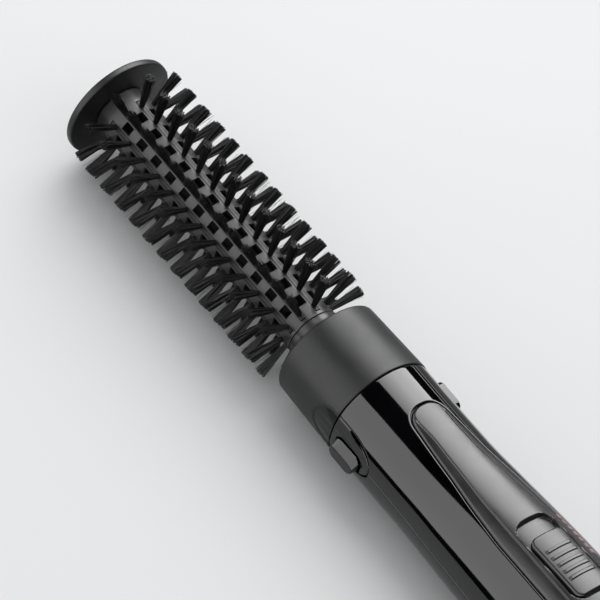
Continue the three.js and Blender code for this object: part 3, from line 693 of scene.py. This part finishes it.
def barrel():
    """Tube with a window between each pair of tufts, midway between the bristle rows."""
    vent_angle = math.asin(VENT_W / 2 / BARREL_R)
    strip_angle = math.asin((STRIP_HALF + STRIP_SLACK) / BARREL_R)
    pitch = TURN / ROWS
    lines = []
    for row in range(ROWS):
        start = ROW_PHASE + row * pitch
        marks = [start - strip_angle, start + strip_angle, start + pitch / 2 - vent_angle,
                 start + pitch / 2 + vent_angle]
        for a, b, count in ((marks[0], marks[1], 2), (marks[1], marks[2], 3), (marks[2], marks[3], 6),
                            (marks[3], start + pitch - strip_angle, 3)):
            lines += [(a + (b - a) * i / count, (row, (a + b) / 2)) for i in range(count)]
    angles = [a for a, _ in lines]
    axial = [BARREL_START]
    axial += spread(BARREL_START + 0.4, STRIP_START - GAP, 0.9)
    window_of = {}
    for k in range(TUFTS - 1):
        middle = FIRST_TUFT + (k + 0.5) * TUFT_PITCH
        axial += spread(axial[-1], middle - VENT_X / 2, 0.75)[1:]
        first = len(axial) - 1
        axial += spread(middle - VENT_X / 2, middle + VENT_X / 2, 0.6)[1:]
        for i in range(first, len(axial) - 1):
            window_of[i] = k
    axial += spread(axial[-1], STRIP_END + GAP, 0.8)[1:]
    axial += spread(STRIP_END + GAP, BARREL_END, 0.5)[1:]
    n = len(angles)
    section = [(barrel_radius(a) * math.sin(a), barrel_radius(a) * math.cos(a)) for a in angles]
    points = [(x, y, z) for x in axial for y, z in section]
    faces = []
    for k in range(len(axial) - 1):
        x = (axial[k] + axial[k + 1]) / 2
        for i in range(n):
            j = (i + 1) % n
            here = (angles[i] + (angles[j] if j else angles[0] + TURN)) / 2
            phase = ((here - ROW_PHASE) / pitch) % 1.0
            in_vent = k in window_of and abs(phase - 0.5) * pitch < vent_angle
            on_strip = min(phase, 1 - phase) * pitch < strip_angle and STRIP_START - GAP < x < STRIP_END + GAP
            if not in_vent and not on_strip:
                faces.append((k * n + i, k * n + j, (k + 1) * n + j, (k + 1) * n + i))
    obj = raw_object("barrel_fine", points, faces)
    bm = bmesh.new()
    bm.from_mesh(obj.data)
    bmesh.ops.recalc_face_normals(bm, faces=bm.faces)
    from_axis = Matrix.Diagonal((0, 1, 1))
    middle = Vector((0, 0, AXIS_Z))
    outward = sum(f.normal.dot(from_axis @ (f.calc_center_median() - middle)) for f in bm.faces)
    if outward < 0:
        bmesh.ops.reverse_faces(bm, faces=bm.faces)
    loose = [v for v in bm.verts if not v.link_faces]
    bmesh.ops.delete(bm, geom=loose, context="VERTS")
    bm.to_mesh(obj.data)
    bm.free()
    wall = obj.modifiers.new("wall", "SOLIDIFY")
    wall.thickness = BARREL_WALL * MM
    wall.offset = -1
    apply_modifiers(obj)
    edge = obj.modifiers.new("edge", "BEVEL")
    edge.width = 0.16 * MM
    edge.segments = 2
    edge.limit_method = "ANGLE"
    edge.angle_limit = math.radians(50)
    apply_modifiers(obj)
    install(obj, "brush_head", BARREL, ["barrel"], 40)
    second_finish(obj, INNER, lambda x, y, z: math.hypot(y, z) < BARREL_R - BARREL_WALL * 0.7)


def filament(points, faces, path, radius, sides=4):
    """Adds one closed bristle, a thin thread through the given points."""
    first = len(points)
    for k, (x, y, z) in enumerate(path):
        thin = radius * (1 - 0.12 * k / (len(path) - 1))
        for i in range(sides):
            t = TURN * (i + 0.25 * (first % 7)) / sides
            points.append((x + thin * math.cos(t), y + thin * math.sin(t), z))
    for k in range(len(path) - 1):
        for i in range(sides):
            j = (i + 1) % sides
            a, b = first + k * sides, first + (k + 1) * sides
            faces.append((a + i, a + j, b + j, b + i))
    faces.append(tuple(first + i for i in range(sides)))
    faces.append(tuple(first + (len(path) - 1) * sides + i for i in range(sides)))


def tuft_lean(k):
    """How far the tips of the first tufts lean towards the end disc, in mm."""
    return (-0.6, -0.2)[k] if k < 2 else 0.0


def bristle_row(index, rng):
    """Thirteen fanned tufts of flat-cut nylon, standing on the row's foot bar."""
    section = ((-STRIP_HALF, STRIP_FOOT), (STRIP_HALF, STRIP_FOOT), (STRIP_HALF, STRIP_TOP - 0.06),
               (STRIP_HALF - 0.1, STRIP_TOP), (0.1 - STRIP_HALF, STRIP_TOP), (-STRIP_HALF, STRIP_TOP - 0.06))
    ends = (STRIP_START, STRIP_START + 0.05, STRIP_END - 0.05, STRIP_END)
    points, faces = loft([[(x, y, z) for y, z in section] for x in ends])
    for k in range(TUFTS):
        middle = FIRST_TUFT + k * TUFT_PITCH
        lean = tuft_lean(k) + rng.uniform(-0.12, 0.12)
        sway = rng.uniform(-0.15, 0.15)
        for i in range(FILAMENTS):
            ring = math.sqrt((i + 0.5) / FILAMENTS)
            turn = i * GOLDEN_ANGLE + rng.uniform(-0.3, 0.3)
            px, py = ring * math.cos(turn), ring * math.sin(turn)
            foot = (middle + 0.72 * px, 0.66 * py, STRIP_TOP - FILAMENT_FOOT)
            stray = 1.0 + (0.16 if i % 9 == 0 else 0.0) * rng.random()
            tip_x = middle + lean + 1.75 * px * stray + rng.uniform(-0.16, 0.16)
            tip_y = sway + 1.4 * py * stray + rng.uniform(-0.14, 0.14)
            tip = (tip_x, tip_y, BRISTLE_R - abs(rng.gauss(0, 0.1)))
            bow = (rng.uniform(-0.16, 0.16), rng.uniform(-0.14, 0.14))
            path = []
            for s in (0.0, 0.25, 0.5, 0.75, 1.0):
                swell = math.sin(math.pi * s)
                widen = s ** 0.92
                path.append((foot[0] + (tip[0] - foot[0]) * widen + bow[0] * swell,
                             foot[1] + (tip[1] - foot[1]) * widen + bow[1] * swell,
                             foot[2] + (tip[2] - foot[2]) * s))
            filament(points, faces, path, FILAMENT_R)
        for _ in range(STRAYS):
            tip = (middle + lean + rng.uniform(-2.7, 2.7), rng.uniform(-1.9, 1.9),
                   BRISTLE_R - rng.uniform(0, 1.2))
            foot_z = STRIP_TOP - FILAMENT_FOOT
            path = [(middle + (tip[0] - middle) * s, tip[1] * s, foot_z + (tip[2] - foot_z) * s)
                    for s in (0.0, 0.35, 0.7, 1.0)]
            filament(points, faces, path, STRAY_R, 3)
    angle = ROW_PHASE + index * TURN / ROWS
    name = f"bristle_row_{index + 1:02d}"
    obj = raw_object(name + "_fine", [spin(p, angle) for p in points], faces)
    install(obj, "brush_head", NYLON, [name], 60)


def barrel_base():
    profile = rounded([
        (97.4, 5.8), (97.4, 7.0), (98.7, 7.0), (98.7, 8.7), (100.4, 8.85), (101.4, 9.1), (102.2, 9.6),
        (102.2, 11.0), (102.4, 11.3), (103.4, 11.3), (103.6, 11.0), (104.5, 11.7), (104.5, 10.9),
        (107.3, 10.9), (107.3, 14.6), (109, 14.6), (109, 9.8),
    ], 0.22, 3)
    obj = raw_object("barrel_base_fine", *lathe(profile, 192))
    install(obj, "brush_head", BARREL, ["barrel_base"], 38)


def relief_amount(x, across):
    """0 outside the arched button pocket of the collar and 1 inside it, with a soft edge."""
    front = COLLAR_END - RELIEF_LENGTH
    nose = RELIEF_HALF
    if x < front + nose:
        t = math.hypot((front + nose - x) / nose, across / RELIEF_HALF)
        edge = (1 - t) * RELIEF_HALF
    else:
        edge = RELIEF_HALF - abs(across)
    return smooth((edge + 0.1) / 0.8)


def roof_radius(angle_from_side, upward):
    """Radius of the surround's two-facet roof at an angle from the side direction."""
    c, s = math.cos(angle_from_side), math.sin(angle_from_side)
    lean = math.tan(math.radians(BOAT_UPPER_LEAN if upward else BOAT_LOWER_LEAN))
    return (BOAT_RIDGE_Y + lean * BOAT_RIDGE_Z * (1 if upward else -1)) / (c + lean * abs(s))


def boat_roof(radius, y, z, side):
    """A radius, cut down to the faceted roof of the button surround."""
    angle = math.atan2(abs(z), max(abs(y), 1e-6))
    return min(radius, roof_radius(angle, -side * z > BOAT_RIDGE_Z))


def collar():
    front_lip = rounded([(COLLAR_START, COLLAR_FRONT_R - 2.4), (COLLAR_START, COLLAR_FRONT_R),
                         (COLLAR_START + 4.0, COLLAR_FRONT_R + 0.12)], [0, 0.8, 0], 8, closed=False)
    flare = (COLLAR_REAR_R - COLLAR_FRONT_R) / (COLLAR_END - COLLAR_START)
    along = stations((COLLAR_START + 5, COLLAR_END - 10, 1.5), (COLLAR_END - 9.6, COLLAR_END - 0.5, 0.22))
    body = [(x, COLLAR_FRONT_R + flare * (x - COLLAR_START)) for x in along]
    rear = [(COLLAR_END - 0.25, COLLAR_REAR_R - 0.03), (COLLAR_END - 0.08, COLLAR_REAR_R - 0.12),
            (COLLAR_END, COLLAR_REAR_R - 0.3)]
    inner = [(COLLAR_END, COLLAR_BORE), (COLLAR_START + 2.2, COLLAR_BORE), (COLLAR_START + 2.2, 11.2),
             (COLLAR_START, 11.2), (COLLAR_START, 13.0)]
    outer = front_lip + body + rear
    profile = outer + inner
    segments = 384
    points, faces = lathe(profile, segments)
    shaped = []
    for k, point in enumerate(points):
        x, y, z = point
        radius = math.hypot(y, z)
        if k // segments < len(outer) and x > COLLAR_END - RELIEF_LENGTH - 1:
            side = -1 if y < 0 else 1
            amount = relief_amount(x, z) if abs(y) > abs(z) else 0.0
            if amount > 0:
                floor = min(radius - 0.12, boat_roof(radius - 0.35, y, z, side))
                target = radius + (floor - radius) * amount
                y, z = y * target / radius, z * target / radius
        shaped.append((x, y, z))
    obj = raw_object("collar_fine", shaped, faces)
    install(obj, "brush_head", MATT, ["collar"], 40)
    front = COLLAR_END - RELIEF_LENGTH

    def in_pocket(x, y, z):
        on_outside = math.hypot(y, z) > COLLAR_BORE + 0.4
        return x > front and abs(y) > abs(z) and on_outside and relief_amount(x, z) > 0.4

    # The pocket's faces take the polished material, whose darker colour is painted shade in the recess.
    second_finish(obj, POLISHED_POCKET_PAINTED_SHADE, in_pocket)


# ---------- handle ----------
def boat_half(u):
    t = min(1.0, max(0.0, u / BOAT_LENGTH))
    return BOAT_HALF * math.sqrt(max(0.0, 1 - t ** 3))


def boat_stations(grow, count=22):
    """Positions that give the boat's pointed nose even steps around its outline."""
    result = []
    for i in range(count + 1):
        z = BOAT_HALF * (1 - i / count)
        result.append((BOAT_LENGTH + grow) * (1 - (z / BOAT_HALF) ** 2) ** (1 / 3))
    return result


def panel_half(u, grow=0.0):
    """Half width of the top panel: a blunt round nose and tail on a gently widening strip."""
    start, end = PANEL_START - grow, PANEL_END + grow
    if u <= start or u >= end:
        return 0.0
    width = curve(PANEL_HALF, 1, u) + grow
    nose = max(0.0, 1 - (u - start) / NOSE_REACH)
    tail = max(0.0, 1 - (end - u) / TAIL_REACH)
    nose_share = (1 - nose ** NOSE_POWER) ** (1 / NOSE_POWER)
    tail_share = (1 - tail ** TAIL_POWER) ** (1 / TAIL_POWER)
    return width * nose_share * tail_share


def panel_stations(grow, count=26):
    """Positions crowded towards the panel's nose and tail."""
    start, end = PANEL_START - grow, PANEL_END + grow
    nose = [start + NOSE_REACH * (i / count) ** NOSE_POWER for i in range(count + 1)]
    tail = [end - TAIL_REACH * (i / 20) ** TAIL_POWER for i in range(21)]
    return nose, tail


def panel_outline(grow=0.0):
    near_nose, near_tail = panel_stations(grow, 24)
    positions = near_nose + spread(near_nose[0] + 8, near_tail[0] - 10, 3.0) + near_tail[::-1]
    upper = [(u, panel_half(u, grow)) for u in positions]
    return upper + [(u, -y) for u, y in upper[-2:0:-1]]


def lip(distance, depth, width):
    """Rounding of an edge: how far the surface drops at a distance from it."""
    return depth * max(0.0, 1 - distance / width) ** 2.2


def shell_positions():
    """Stations of the handle case, close together at its edges, the buttons and the panel's ends."""
    nose, tail = panel_stations(GAP)
    marks = [0, 0.08, 0.2, 0.4, 0.8] + boat_stations(GAP)
    marks += spread(BOAT_LENGTH + GAP + 0.05, BOAT_LENGTH + 2, 0.4)
    marks += nose + tail + [nose[0] - 0.02, tail[0] + 0.02] + [nose[0] - d for d in (0.5, 0.35, 0.22, 0.12)]
    marks += [tail[0] + d for d in (0.5, 0.3, 0.15)]
    marks += spread(1, HANDLE_LENGTH - 0.8, 1.6) + [HANDLE_LENGTH - d for d in (0.4, 0.2, 0.08, 0.0)]
    return thinned([u for u in marks if 0 <= u <= HANDLE_LENGTH], 0.004)


def shell(side):
    """Half of the handle case as a C-shaped loft, open for the buttons and sunk under the top panel."""
    rows, queries = [], []
    for u in shell_positions():
        w, h = half_width(u), half_height(u, side)
        flat = h if side > 0 else UNDERSIDE
        boat = boat_half(u * BOAT_LENGTH / (BOAT_LENGTH + GAP)) + GAP if u < BOAT_LENGTH + GAP else 0.0
        z0 = max(PARTING_HALF, boat)
        t0 = math.asin(z0 / h)
        inside = panel_half(u, GAP) if side > 0 else 0.0
        y1 = max(0.05, inside)
        t1 = math.acos(min(1.0, y1 / w))
        fine = [0, 0.08 / h, 0.2 / h, 0.4 / h, 0.8 / h]
        stretch = t1 - t0 - fine[-1] * 2
        arc = [t0 + f for f in fine[:-1]]
        arc += [t0 + fine[-1] + stretch * i / ARC_STEPS for i in range(ARC_STEPS + 1)]
        arc += [t1 - f for f in fine[-2::-1]]
        edge_depth = 0.2 if boat > PARTING_HALF else 0.16
        outer = []
        for t in arc:
            drop = lip((t - t0) * h, edge_depth, 0.4) + lip(min(u, HANDLE_LENGTH - u), 0.22, 0.4)
            outer.append((-(w - drop) * math.cos(t), min(flat, (h - drop) * math.sin(t))))
        rows.append((u, w, h, outer, y1 if inside > 0 else 0.0, t0))
        queries += [(u, -y) for y, _ in outer]
    away = distances(queries, panel_outline(GAP)) if side > 0 else None
    rings = []
    count = len(rows[0][3])
    for k, (u, w, h, outer, y1, t0) in enumerate(rows):
        flat = h if side > 0 else UNDERSIDE
        left = []
        for i, (y, z) in enumerate(outer):
            drop = lip(abs(away[k * count + i]), 0.26, 0.42) if side > 0 else 0.0
            left.append((y, z - drop))
        floor = PANEL_SINK + GAP if y1 > 0 else 0.0
        span_y = y1 if y1 > 0 else 0.05
        middle = []
        for i in range(15):
            y = span_y * (2 * i / 14 - 1)
            middle.append((y, min(flat, h * math.sqrt(max(0.0, 1 - (y / w) ** 2))) - floor))
        right = [(-y, z) for y, z in left[::-1]]
        inner = []
        wi, hi = w - SHELL_T, h - SHELL_T
        start = math.asin(min(0.95, max(PARTING_HALF, h * math.sin(t0)) / hi))
        for i in range(33):
            t = start + (math.pi - 2 * start) * i / 32
            under_panel = 0.35 if floor and abs(wi * math.cos(t)) < y1 else 0.0
            inner.append((wi * math.cos(t), min(flat - SHELL_T, hi * math.sin(t)) - under_panel))
        section = left + middle + right + inner
        rings.append([(SEAM + u, y, side * z) for y, z in section])
    return loft(rings)


def upper_shell():
    obj = raw_object("upper_shell_fine", *shell(1))
    install(obj, "handle", GLOSS, ["upper_shell"], 40)


def lower_shell():
    obj = raw_object("lower_shell_fine", *shell(-1))
    finish_mesh(obj, 40)
    posts, holes = [], []
    for u in SCREWS:
        foot = -min(UNDERSIDE, half_height(u, -1))
        posts.append(bar("post", POST_R, SEAM + u, -0.6, foot + 1.0))
        holes.append(bar("seat", SEAT_R, SEAM + u, foot + SEAT_DEPTH, foot - 2.0))
        holes.append(bar("bore", BORE_R, SEAM + u, 1.0, foot - 2.2))
    cut(obj, posts, "UNION", "MANIFOLD")
    cut(obj, holes, "DIFFERENCE", "MANIFOLD")
    install(obj, "handle", GLOSS, ["lower_shell"], 40)


def panel_height(u, edge):
    """Height of the panel over the handle's surface at a distance edge from its outline."""
    crease = curve(CREASE_INSET, 1, u)
    nose = smooth((PANEL_START + 3.6 - u) / 3.0)
    rim = min(1.0, edge / (0.45 + 0.8 * nose))
    rounded_rim = -0.75 - 0.3 * nose + (0.9 + 0.3 * nose) * math.sqrt(max(0.0, 1 - (1 - rim) ** 2))
    slope = smooth(edge / max(0.5, crease)) * 0.12 + min(1.0, edge / max(0.6, crease)) * 0.23
    groove = 0.3 * math.exp(-((edge - crease) / 0.13) ** 2) * smooth((u - 15) / 5)
    return rounded_rim + slope - groove


def top_panel():
    nose, tail = panel_stations(0.0)
    positions = thinned(nose + tail + stations((14, 60, 1.2), (60.5, 93.5, 0.24), (94, 149, 1.4)), 0.004)
    positions[0] = PANEL_START + 0.004
    positions[-1] = PANEL_END - 0.004
    fine_edge = [0, 0.05, 0.12, 0.22, 0.34, 0.48, 0.7, 1.0]
    across = []
    for u in positions:
        half = panel_half(u)
        scale = min(1.0, half / 2.5)
        left = [-half + f * scale for f in fine_edge]
        crease = max(curve(CREASE_INSET, 1, u), fine_edge[-1] + 0.6)
        if half > crease + 0.8:
            from_edge = [fine_edge[-1] + (crease - 0.45 - fine_edge[-1]) * i / 8 for i in range(1, 8)]
            from_edge += [crease - 0.45 + 0.9 * i / 12 for i in range(13)]
            left += [-half + d for d in from_edge]
        else:
            left += [left[-1] + (-0.3 - left[-1]) * i / 20 * (half / 8) for i in range(1, 21)]
        inner = [left[-1] - 2 * left[-1] * i / PANEL_ROWS for i in range(1, PANEL_ROWS)]
        across.append(left + inner + [-y for y in left[::-1]])
    outline = panel_outline()
    points2 = [(u, y) for u, row in zip(positions, across) for y in row]
    edge = np.abs(distances(points2, outline))
    recess = plan_outline(RECESS_FRONT, RECESS_REAR, RECESS_HALF, RECESS_CORNER, 12)
    depth = distances(points2, recess)
    rings = []
    n = len(across[0])
    for k, u in enumerate(positions):
        upper, lower = [], []
        for i, y in enumerate(across[k]):
            at = k * n + i
            surface = top_surface(u, y)
            on_rim = 0.0 if i in (0, n - 1) else edge[at]
            high = surface + panel_height(u, on_rim)
            scoop = smooth((RECESS_FRONT + 3.4 - u) / 2.6) * smooth((5.0 - abs(y)) / 2.4)
            sunk = smooth((-depth[at] + 0.12) / (0.42 + 0.7 * scoop))
            high = high * (1 - sunk) + (surface + PANEL_RAISE * 0.7 - RECESS_DEPTH) * sunk
            upper.append((SEAM + u, y, high))
            lower.append((SEAM + u, y, surface - PANEL_SINK))
        rings.append(upper + lower[::-1])
    obj = raw_object("top_panel_fine", *loft(rings))
    finish_mesh(obj, 50)
    slot_plan = plan_outline(SEAM + 71, SEAM + 89, 2.4, 2.2)
    cut(obj, [prism("slot", slot_plan, 10, 30)])
    install(obj, "handle", SATIN, ["top_panel"], 46)


def red_ticks():
    """Small printed ticks beside the switch, on the panel's far shoulder."""
    points, faces = [], []
    for i in range(7):
        start = 63.4 + i * 2.4
        rings = []
        for u in (start, start + 0.75, start + 1.5):
            row = [9.1 + 0.45 * k for k in range(5)]
            heights = [top_surface(u, y) + panel_height(u, panel_half(u) - y) for y in row]
            upper = [(SEAM + u, y, z + 0.035) for y, z in zip(row, heights)]
            lower = [(SEAM + u, y, z - 0.05) for y, z in zip(row, heights)]
            rings.append(upper + lower[::-1])
        new_points, new_faces = loft(rings)
        faces += [tuple(i + len(points) for i in face) for face in new_faces]
        points += new_points
    obj = raw_object("switch_ticks", points, faces)
    finish_mesh(obj, 40)
    obj.data.materials.append(RED)
    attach(obj, "handle")


def button_surround(side, label):
    """Faceted boat-shaped plate with a window for the button."""
    positions = [0.2, 0.35] + [u for u in boat_stations(0.0, 16) if 0.5 < u < BOAT_LENGTH - 0.05]
    positions += spread(1, 16, 0.8)
    positions.sort()
    rings = []
    for u in positions:
        half = boat_half(u) - 0.02
        front, back = [], []
        ridge = -side * min(BOAT_RIDGE_Z, half * 0.97)
        steps = [-half + (ridge + half) * i / 12 for i in range(12)]
        steps += [ridge + (half - ridge) * i / 12 for i in range(13)]
        for z in steps:
            angle = math.atan2(abs(z), 17)
            edge = half - abs(z)
            skin = math.sqrt(max(0.0, half_width(u) ** 2 - z ** 2)) - 0.1
            roof = roof_radius(angle, -side * z > BOAT_RIDGE_Z) * math.cos(angle)
            y = min(skin, roof) - lip(edge, 0.3, 0.35) - lip(BOAT_LENGTH - u, 0.5, 0.8)
            front.append((SEAM + u, side * y, z))
            back.append((SEAM + u, side * BOAT_BACK, z))
        rings.append(front + back[::-1])
    obj = raw_object(f"button_surround_{label}_fine", *loft(rings))
    finish_mesh(obj, 30)
    middle = SEAM + BUTTON_MIDDLE
    plan = plan_outline(middle - BUTTON_LENGTH / 2 - GAP, middle + BUTTON_LENGTH / 2 + 2 * GAP,
                        BUTTON_HALF + 2 * GAP, BUTTON_CORNER + GAP, 8, side * BUTTON_DROP)
    cut(obj, [prism("window", plan, side * 12, side * 22, True)])
    install(obj, "handle", GLOSS, [f"button_surround_{label}"], 9)


def release_button(side, label):
    """Push button with a sloping bright facet over a flatter thumb face."""
    middle = SEAM + BUTTON_MIDDLE
    edge = side * (BUTTON_DROP + BUTTON_HALF)
    plan = plan_outline(-BUTTON_LENGTH / 2, BUTTON_LENGTH / 2, BUTTON_HALF, BUTTON_CORNER, 10)
    rings = []
    levels = [(16.3, 1.0, 1.0), (17.5, 1.0, 1.0), (17.85, 0.995, 0.99)]
    for i in range(1, 7):
        t = i / 6
        levels.append((17.85 + 1.5 * t, 1 - 0.06 * t, 0.99 - 0.32 * t))
    levels += [(19.52, 0.93, 0.64), (19.64, 0.91, 0.615), (BUTTON_FACE, 0.87, 0.58)]
    for y, along, keep in levels:
        ring = []
        for x, z in plan:
            height = side * BUTTON_DROP + z
            ring.append((middle + x * along, side * y, edge + (height - edge) * keep))
        rings.append(ring)
    last = rings[-1]
    for shrink in (0.7, 0.4, 0.12):
        cx = sum(p[0] for p in last) / len(last)
        cz = sum(p[2] for p in last) / len(last)
        rings.append([(cx + (x - cx) * shrink, side * (BUTTON_FACE + 0.03), cz + (z - cz) * shrink)
                      for x, _, z in last])
    obj = raw_object(f"release_button_{label}_fine", *loft(rings))
    finish_mesh(obj, 30)
    stem_plan = [(x, side * BUTTON_DROP + z) for x, z in rectangle(middle - 2.5, middle + 2.5, 1.5)]
    cut(obj, [prism("stem", stem_plan, side * 15.0, side * 16.6, True)], "UNION")
    install(obj, f"release_button_{label}", GLOSS, [f"release_button_{label}"], 30)


def switch_slider():
    """Thumb slider with a rounded rim and five short ridges."""
    ends = [0, 0.03, 0.1, 0.22, 0.4, 0.65, 1.0, 1.5, 2.2]
    length = SLIDER_REAR - SLIDER_FRONT
    positions = ends + stations((2.5, length - 2.5, 0.13)) + [length - e for e in ends[::-1]]
    across = []
    for d in positions:
        reach = min(d, length - d)
        half = SLIDER_HALF
        if reach < SLIDER_CORNER:
            bend = math.sqrt(max(0.0, SLIDER_CORNER ** 2 - (SLIDER_CORNER - reach) ** 2))
            half = SLIDER_HALF - SLIDER_CORNER + bend
        edge = [0, 0.05, 0.13, 0.25, 0.42, 0.65]
        left = [-half + e for e in edge]
        inner = [left[-1] - 2 * left[-1] * i / SLIDER_ROWS for i in range(1, SLIDER_ROWS)]
        across.append(left + inner + [-y for y in left[::-1]])
    plan = plan_outline(0, length, SLIDER_HALF, SLIDER_CORNER, 12)
    points2 = [(d, y) for d, row in zip(positions, across) for y in row]
    edge = np.abs(distances(points2, plan))
    n = len(across[0])
    rings = []
    for k, d in enumerate(positions):
        u = SLIDER_FRONT + d
        upper, lower = [], []
        for i, y in enumerate(across[k]):
            gap = 0.0 if i in (0, n - 1) or k in (0, len(positions) - 1) else edge[k * n + i]
            rim = 0.55 * (1 - math.sqrt(max(0.0, 1 - (1 - min(1.0, gap / 0.6)) ** 2)))
            since = d - RIDGES_START
            phase = since - math.floor(since / RIDGE_PITCH) * RIDGE_PITCH
            ridge = 0.0
            if 0 <= since < RIDGES * RIDGE_PITCH:
                ridge = smooth(phase / 0.3) * smooth((1.35 - phase) / 0.3)
                ridge *= smooth((4.6 - abs(y)) / 0.5)
            height = top_surface(u, y) + SLIDER_RISE - rim + RIDGE_HEIGHT * ridge
            upper.append((SEAM + u, y, height))
            lower.append((SEAM + u, y, top_surface(u, y) - SLIDER_FOOT))
        rings.append(upper + lower[::-1])
    obj = raw_object("switch_slider_fine", *loft(rings))
    finish_mesh(obj, 40)
    cut(obj, [prism("stem", rectangle(SEAM + 79.2, SEAM + 87.2, 1.5), 17.8, 21.6)], "UNION")
    install(obj, "switch_slider", SATIN, ["switch_slider"], 40)


# ---------- rear end ----------
def rear_cap():
    profile = rounded([
        (CAP_START, 14.4), (CAP_START, 16.3), (CAP_END - 1.6, 15.6), (CAP_END - 0.4, 14.6), (CAP_END, 13.4),
        (CAP_END, 5.3), (CAP_END - 2, 5.3), (CAP_END - 2, 13.2),
    ], 0.35, 4)
    obj = raw_object("rear_cap_fine", *lathe(profile, 224))
    finish_mesh(obj, 38)
    slots = []
    for i in range(14):
        plan = plan_outline(7.6, 12.4, 0.8, 0.78, 6)
        turn = (i + 0.5) * math.pi / 7
        rings = [[spin((x, y, r), turn) for r, y in plan] for x in (CAP_END - 4, CAP_END + 1)]
        slots.append(raw_object("slot", *loft(rings)))
    cut(obj, slots)
    install(obj, "handle", MATT, ["rear_cap"], 36)


def cord_gland():
    profile = [
        (GLAND_START, 3.2), (GLAND_START, 6.4), (CAP_END - 3.6, 6.4), (CAP_END - 3.6, 4.8),
        (CAP_END + 0.4, 4.8), (CAP_END + 0.4, 7.4), (CAP_END + 1.6, 7.8), (CAP_END + 3, 7.4),
    ]
    for i in range(3):
        x = CAP_END + 3.6 + i * 1.1
        drop = i * 0.35
        profile += [(x, 7.0 - drop), (x, 6.6 - drop), (x + 0.45, 6.6 - drop), (x + 0.45, 6.85 - drop)]
    profile += [(GLAND_END - 0.5, 5.8), (GLAND_END, 5.3), (GLAND_END, 3.2)]
    obj = raw_object("cord_gland_fine", *lathe(rounded(profile, 0.2, 3), 128))
    install(obj, "cord_gland", MATT, ["cord_gland"], 36)


def case_screw(u, label):
    """Pan-head screw with a cross recess, seen in the counterbore under the handle."""
    profile = [(0.0, 0.0), (0.0, 1.9), (0.18, 2.3), (0.45, 2.55), (0.8, 2.6), (1.6, 2.6), (1.6, 1.2),
               (9.0, 1.2), (11.0, 1.1), (11.0, 0.0)]
    points, faces = lathe(profile, 64)
    bottom = (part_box(f"case_screw_{label}")[0].z - AXIS_Z) / MM
    turned = [(SEAM + u + y, z, bottom + x) for x, y, z in points]
    obj = raw_object(f"case_screw_{label}_fine", turned, faces)
    finish_mesh(obj, 30)
    cross = []
    for a, b in ((1.5, 0.35), (0.35, 1.5)):
        cross.append(prism("cross", rectangle(SEAM + u - a, SEAM + u + a, b), bottom - 1.0, bottom + 1.0))
    cut(obj, cross)
    install(obj, "handle", STEEL, [f"case_screw_{label}"], 30)


# ---------- carried-over CAD nodes ----------
KEPT_NODES = {
    STEEL: ["tip_screw", "latch_spring_left", "latch_spring_right", "nozzle_tube", "heater_coil", "fan_shaft",
            "motor", "inlet_screen", "gland_washer"],
    BRASS: ["thermal_fuse"],
    MICA: ["mica_frame"],
    CIRCUIT: ["rectifier_board"],
    FAN_WHITE: ["fan_impeller", "thermostat"],
    INNER: ["core_rod", "collar_liner", "front_bulkhead", "fan_duct", "motor_mount", "switch_body"],
}


def dress_kept_nodes():
    for material, names in KEPT_NODES.items():
        for name in names:
            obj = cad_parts[name]
            if not obj.material_slots:
                obj.data.materials.append(material)
            for slot in obj.material_slots:
                slot.material = material


# ---------- build ----------
make_camera()
make_floor()
make_studio()
end_disc()
barrel()
generator = random.Random(11)
for number in range(ROWS):
    bristle_row(number, generator)
barrel_base()
collar()
upper_shell()
lower_shell()
top_panel()
red_ticks()
for sign, word in ((-1, "left"), (1, "right")):
    button_surround(sign, word)
    release_button(sign, word)
switch_slider()
rear_cap()
cord_gland()
for place_on_handle, word in zip(SCREWS, ("front", "rear")):
    case_screw(place_on_handle, word)
dress_kept_nodes()
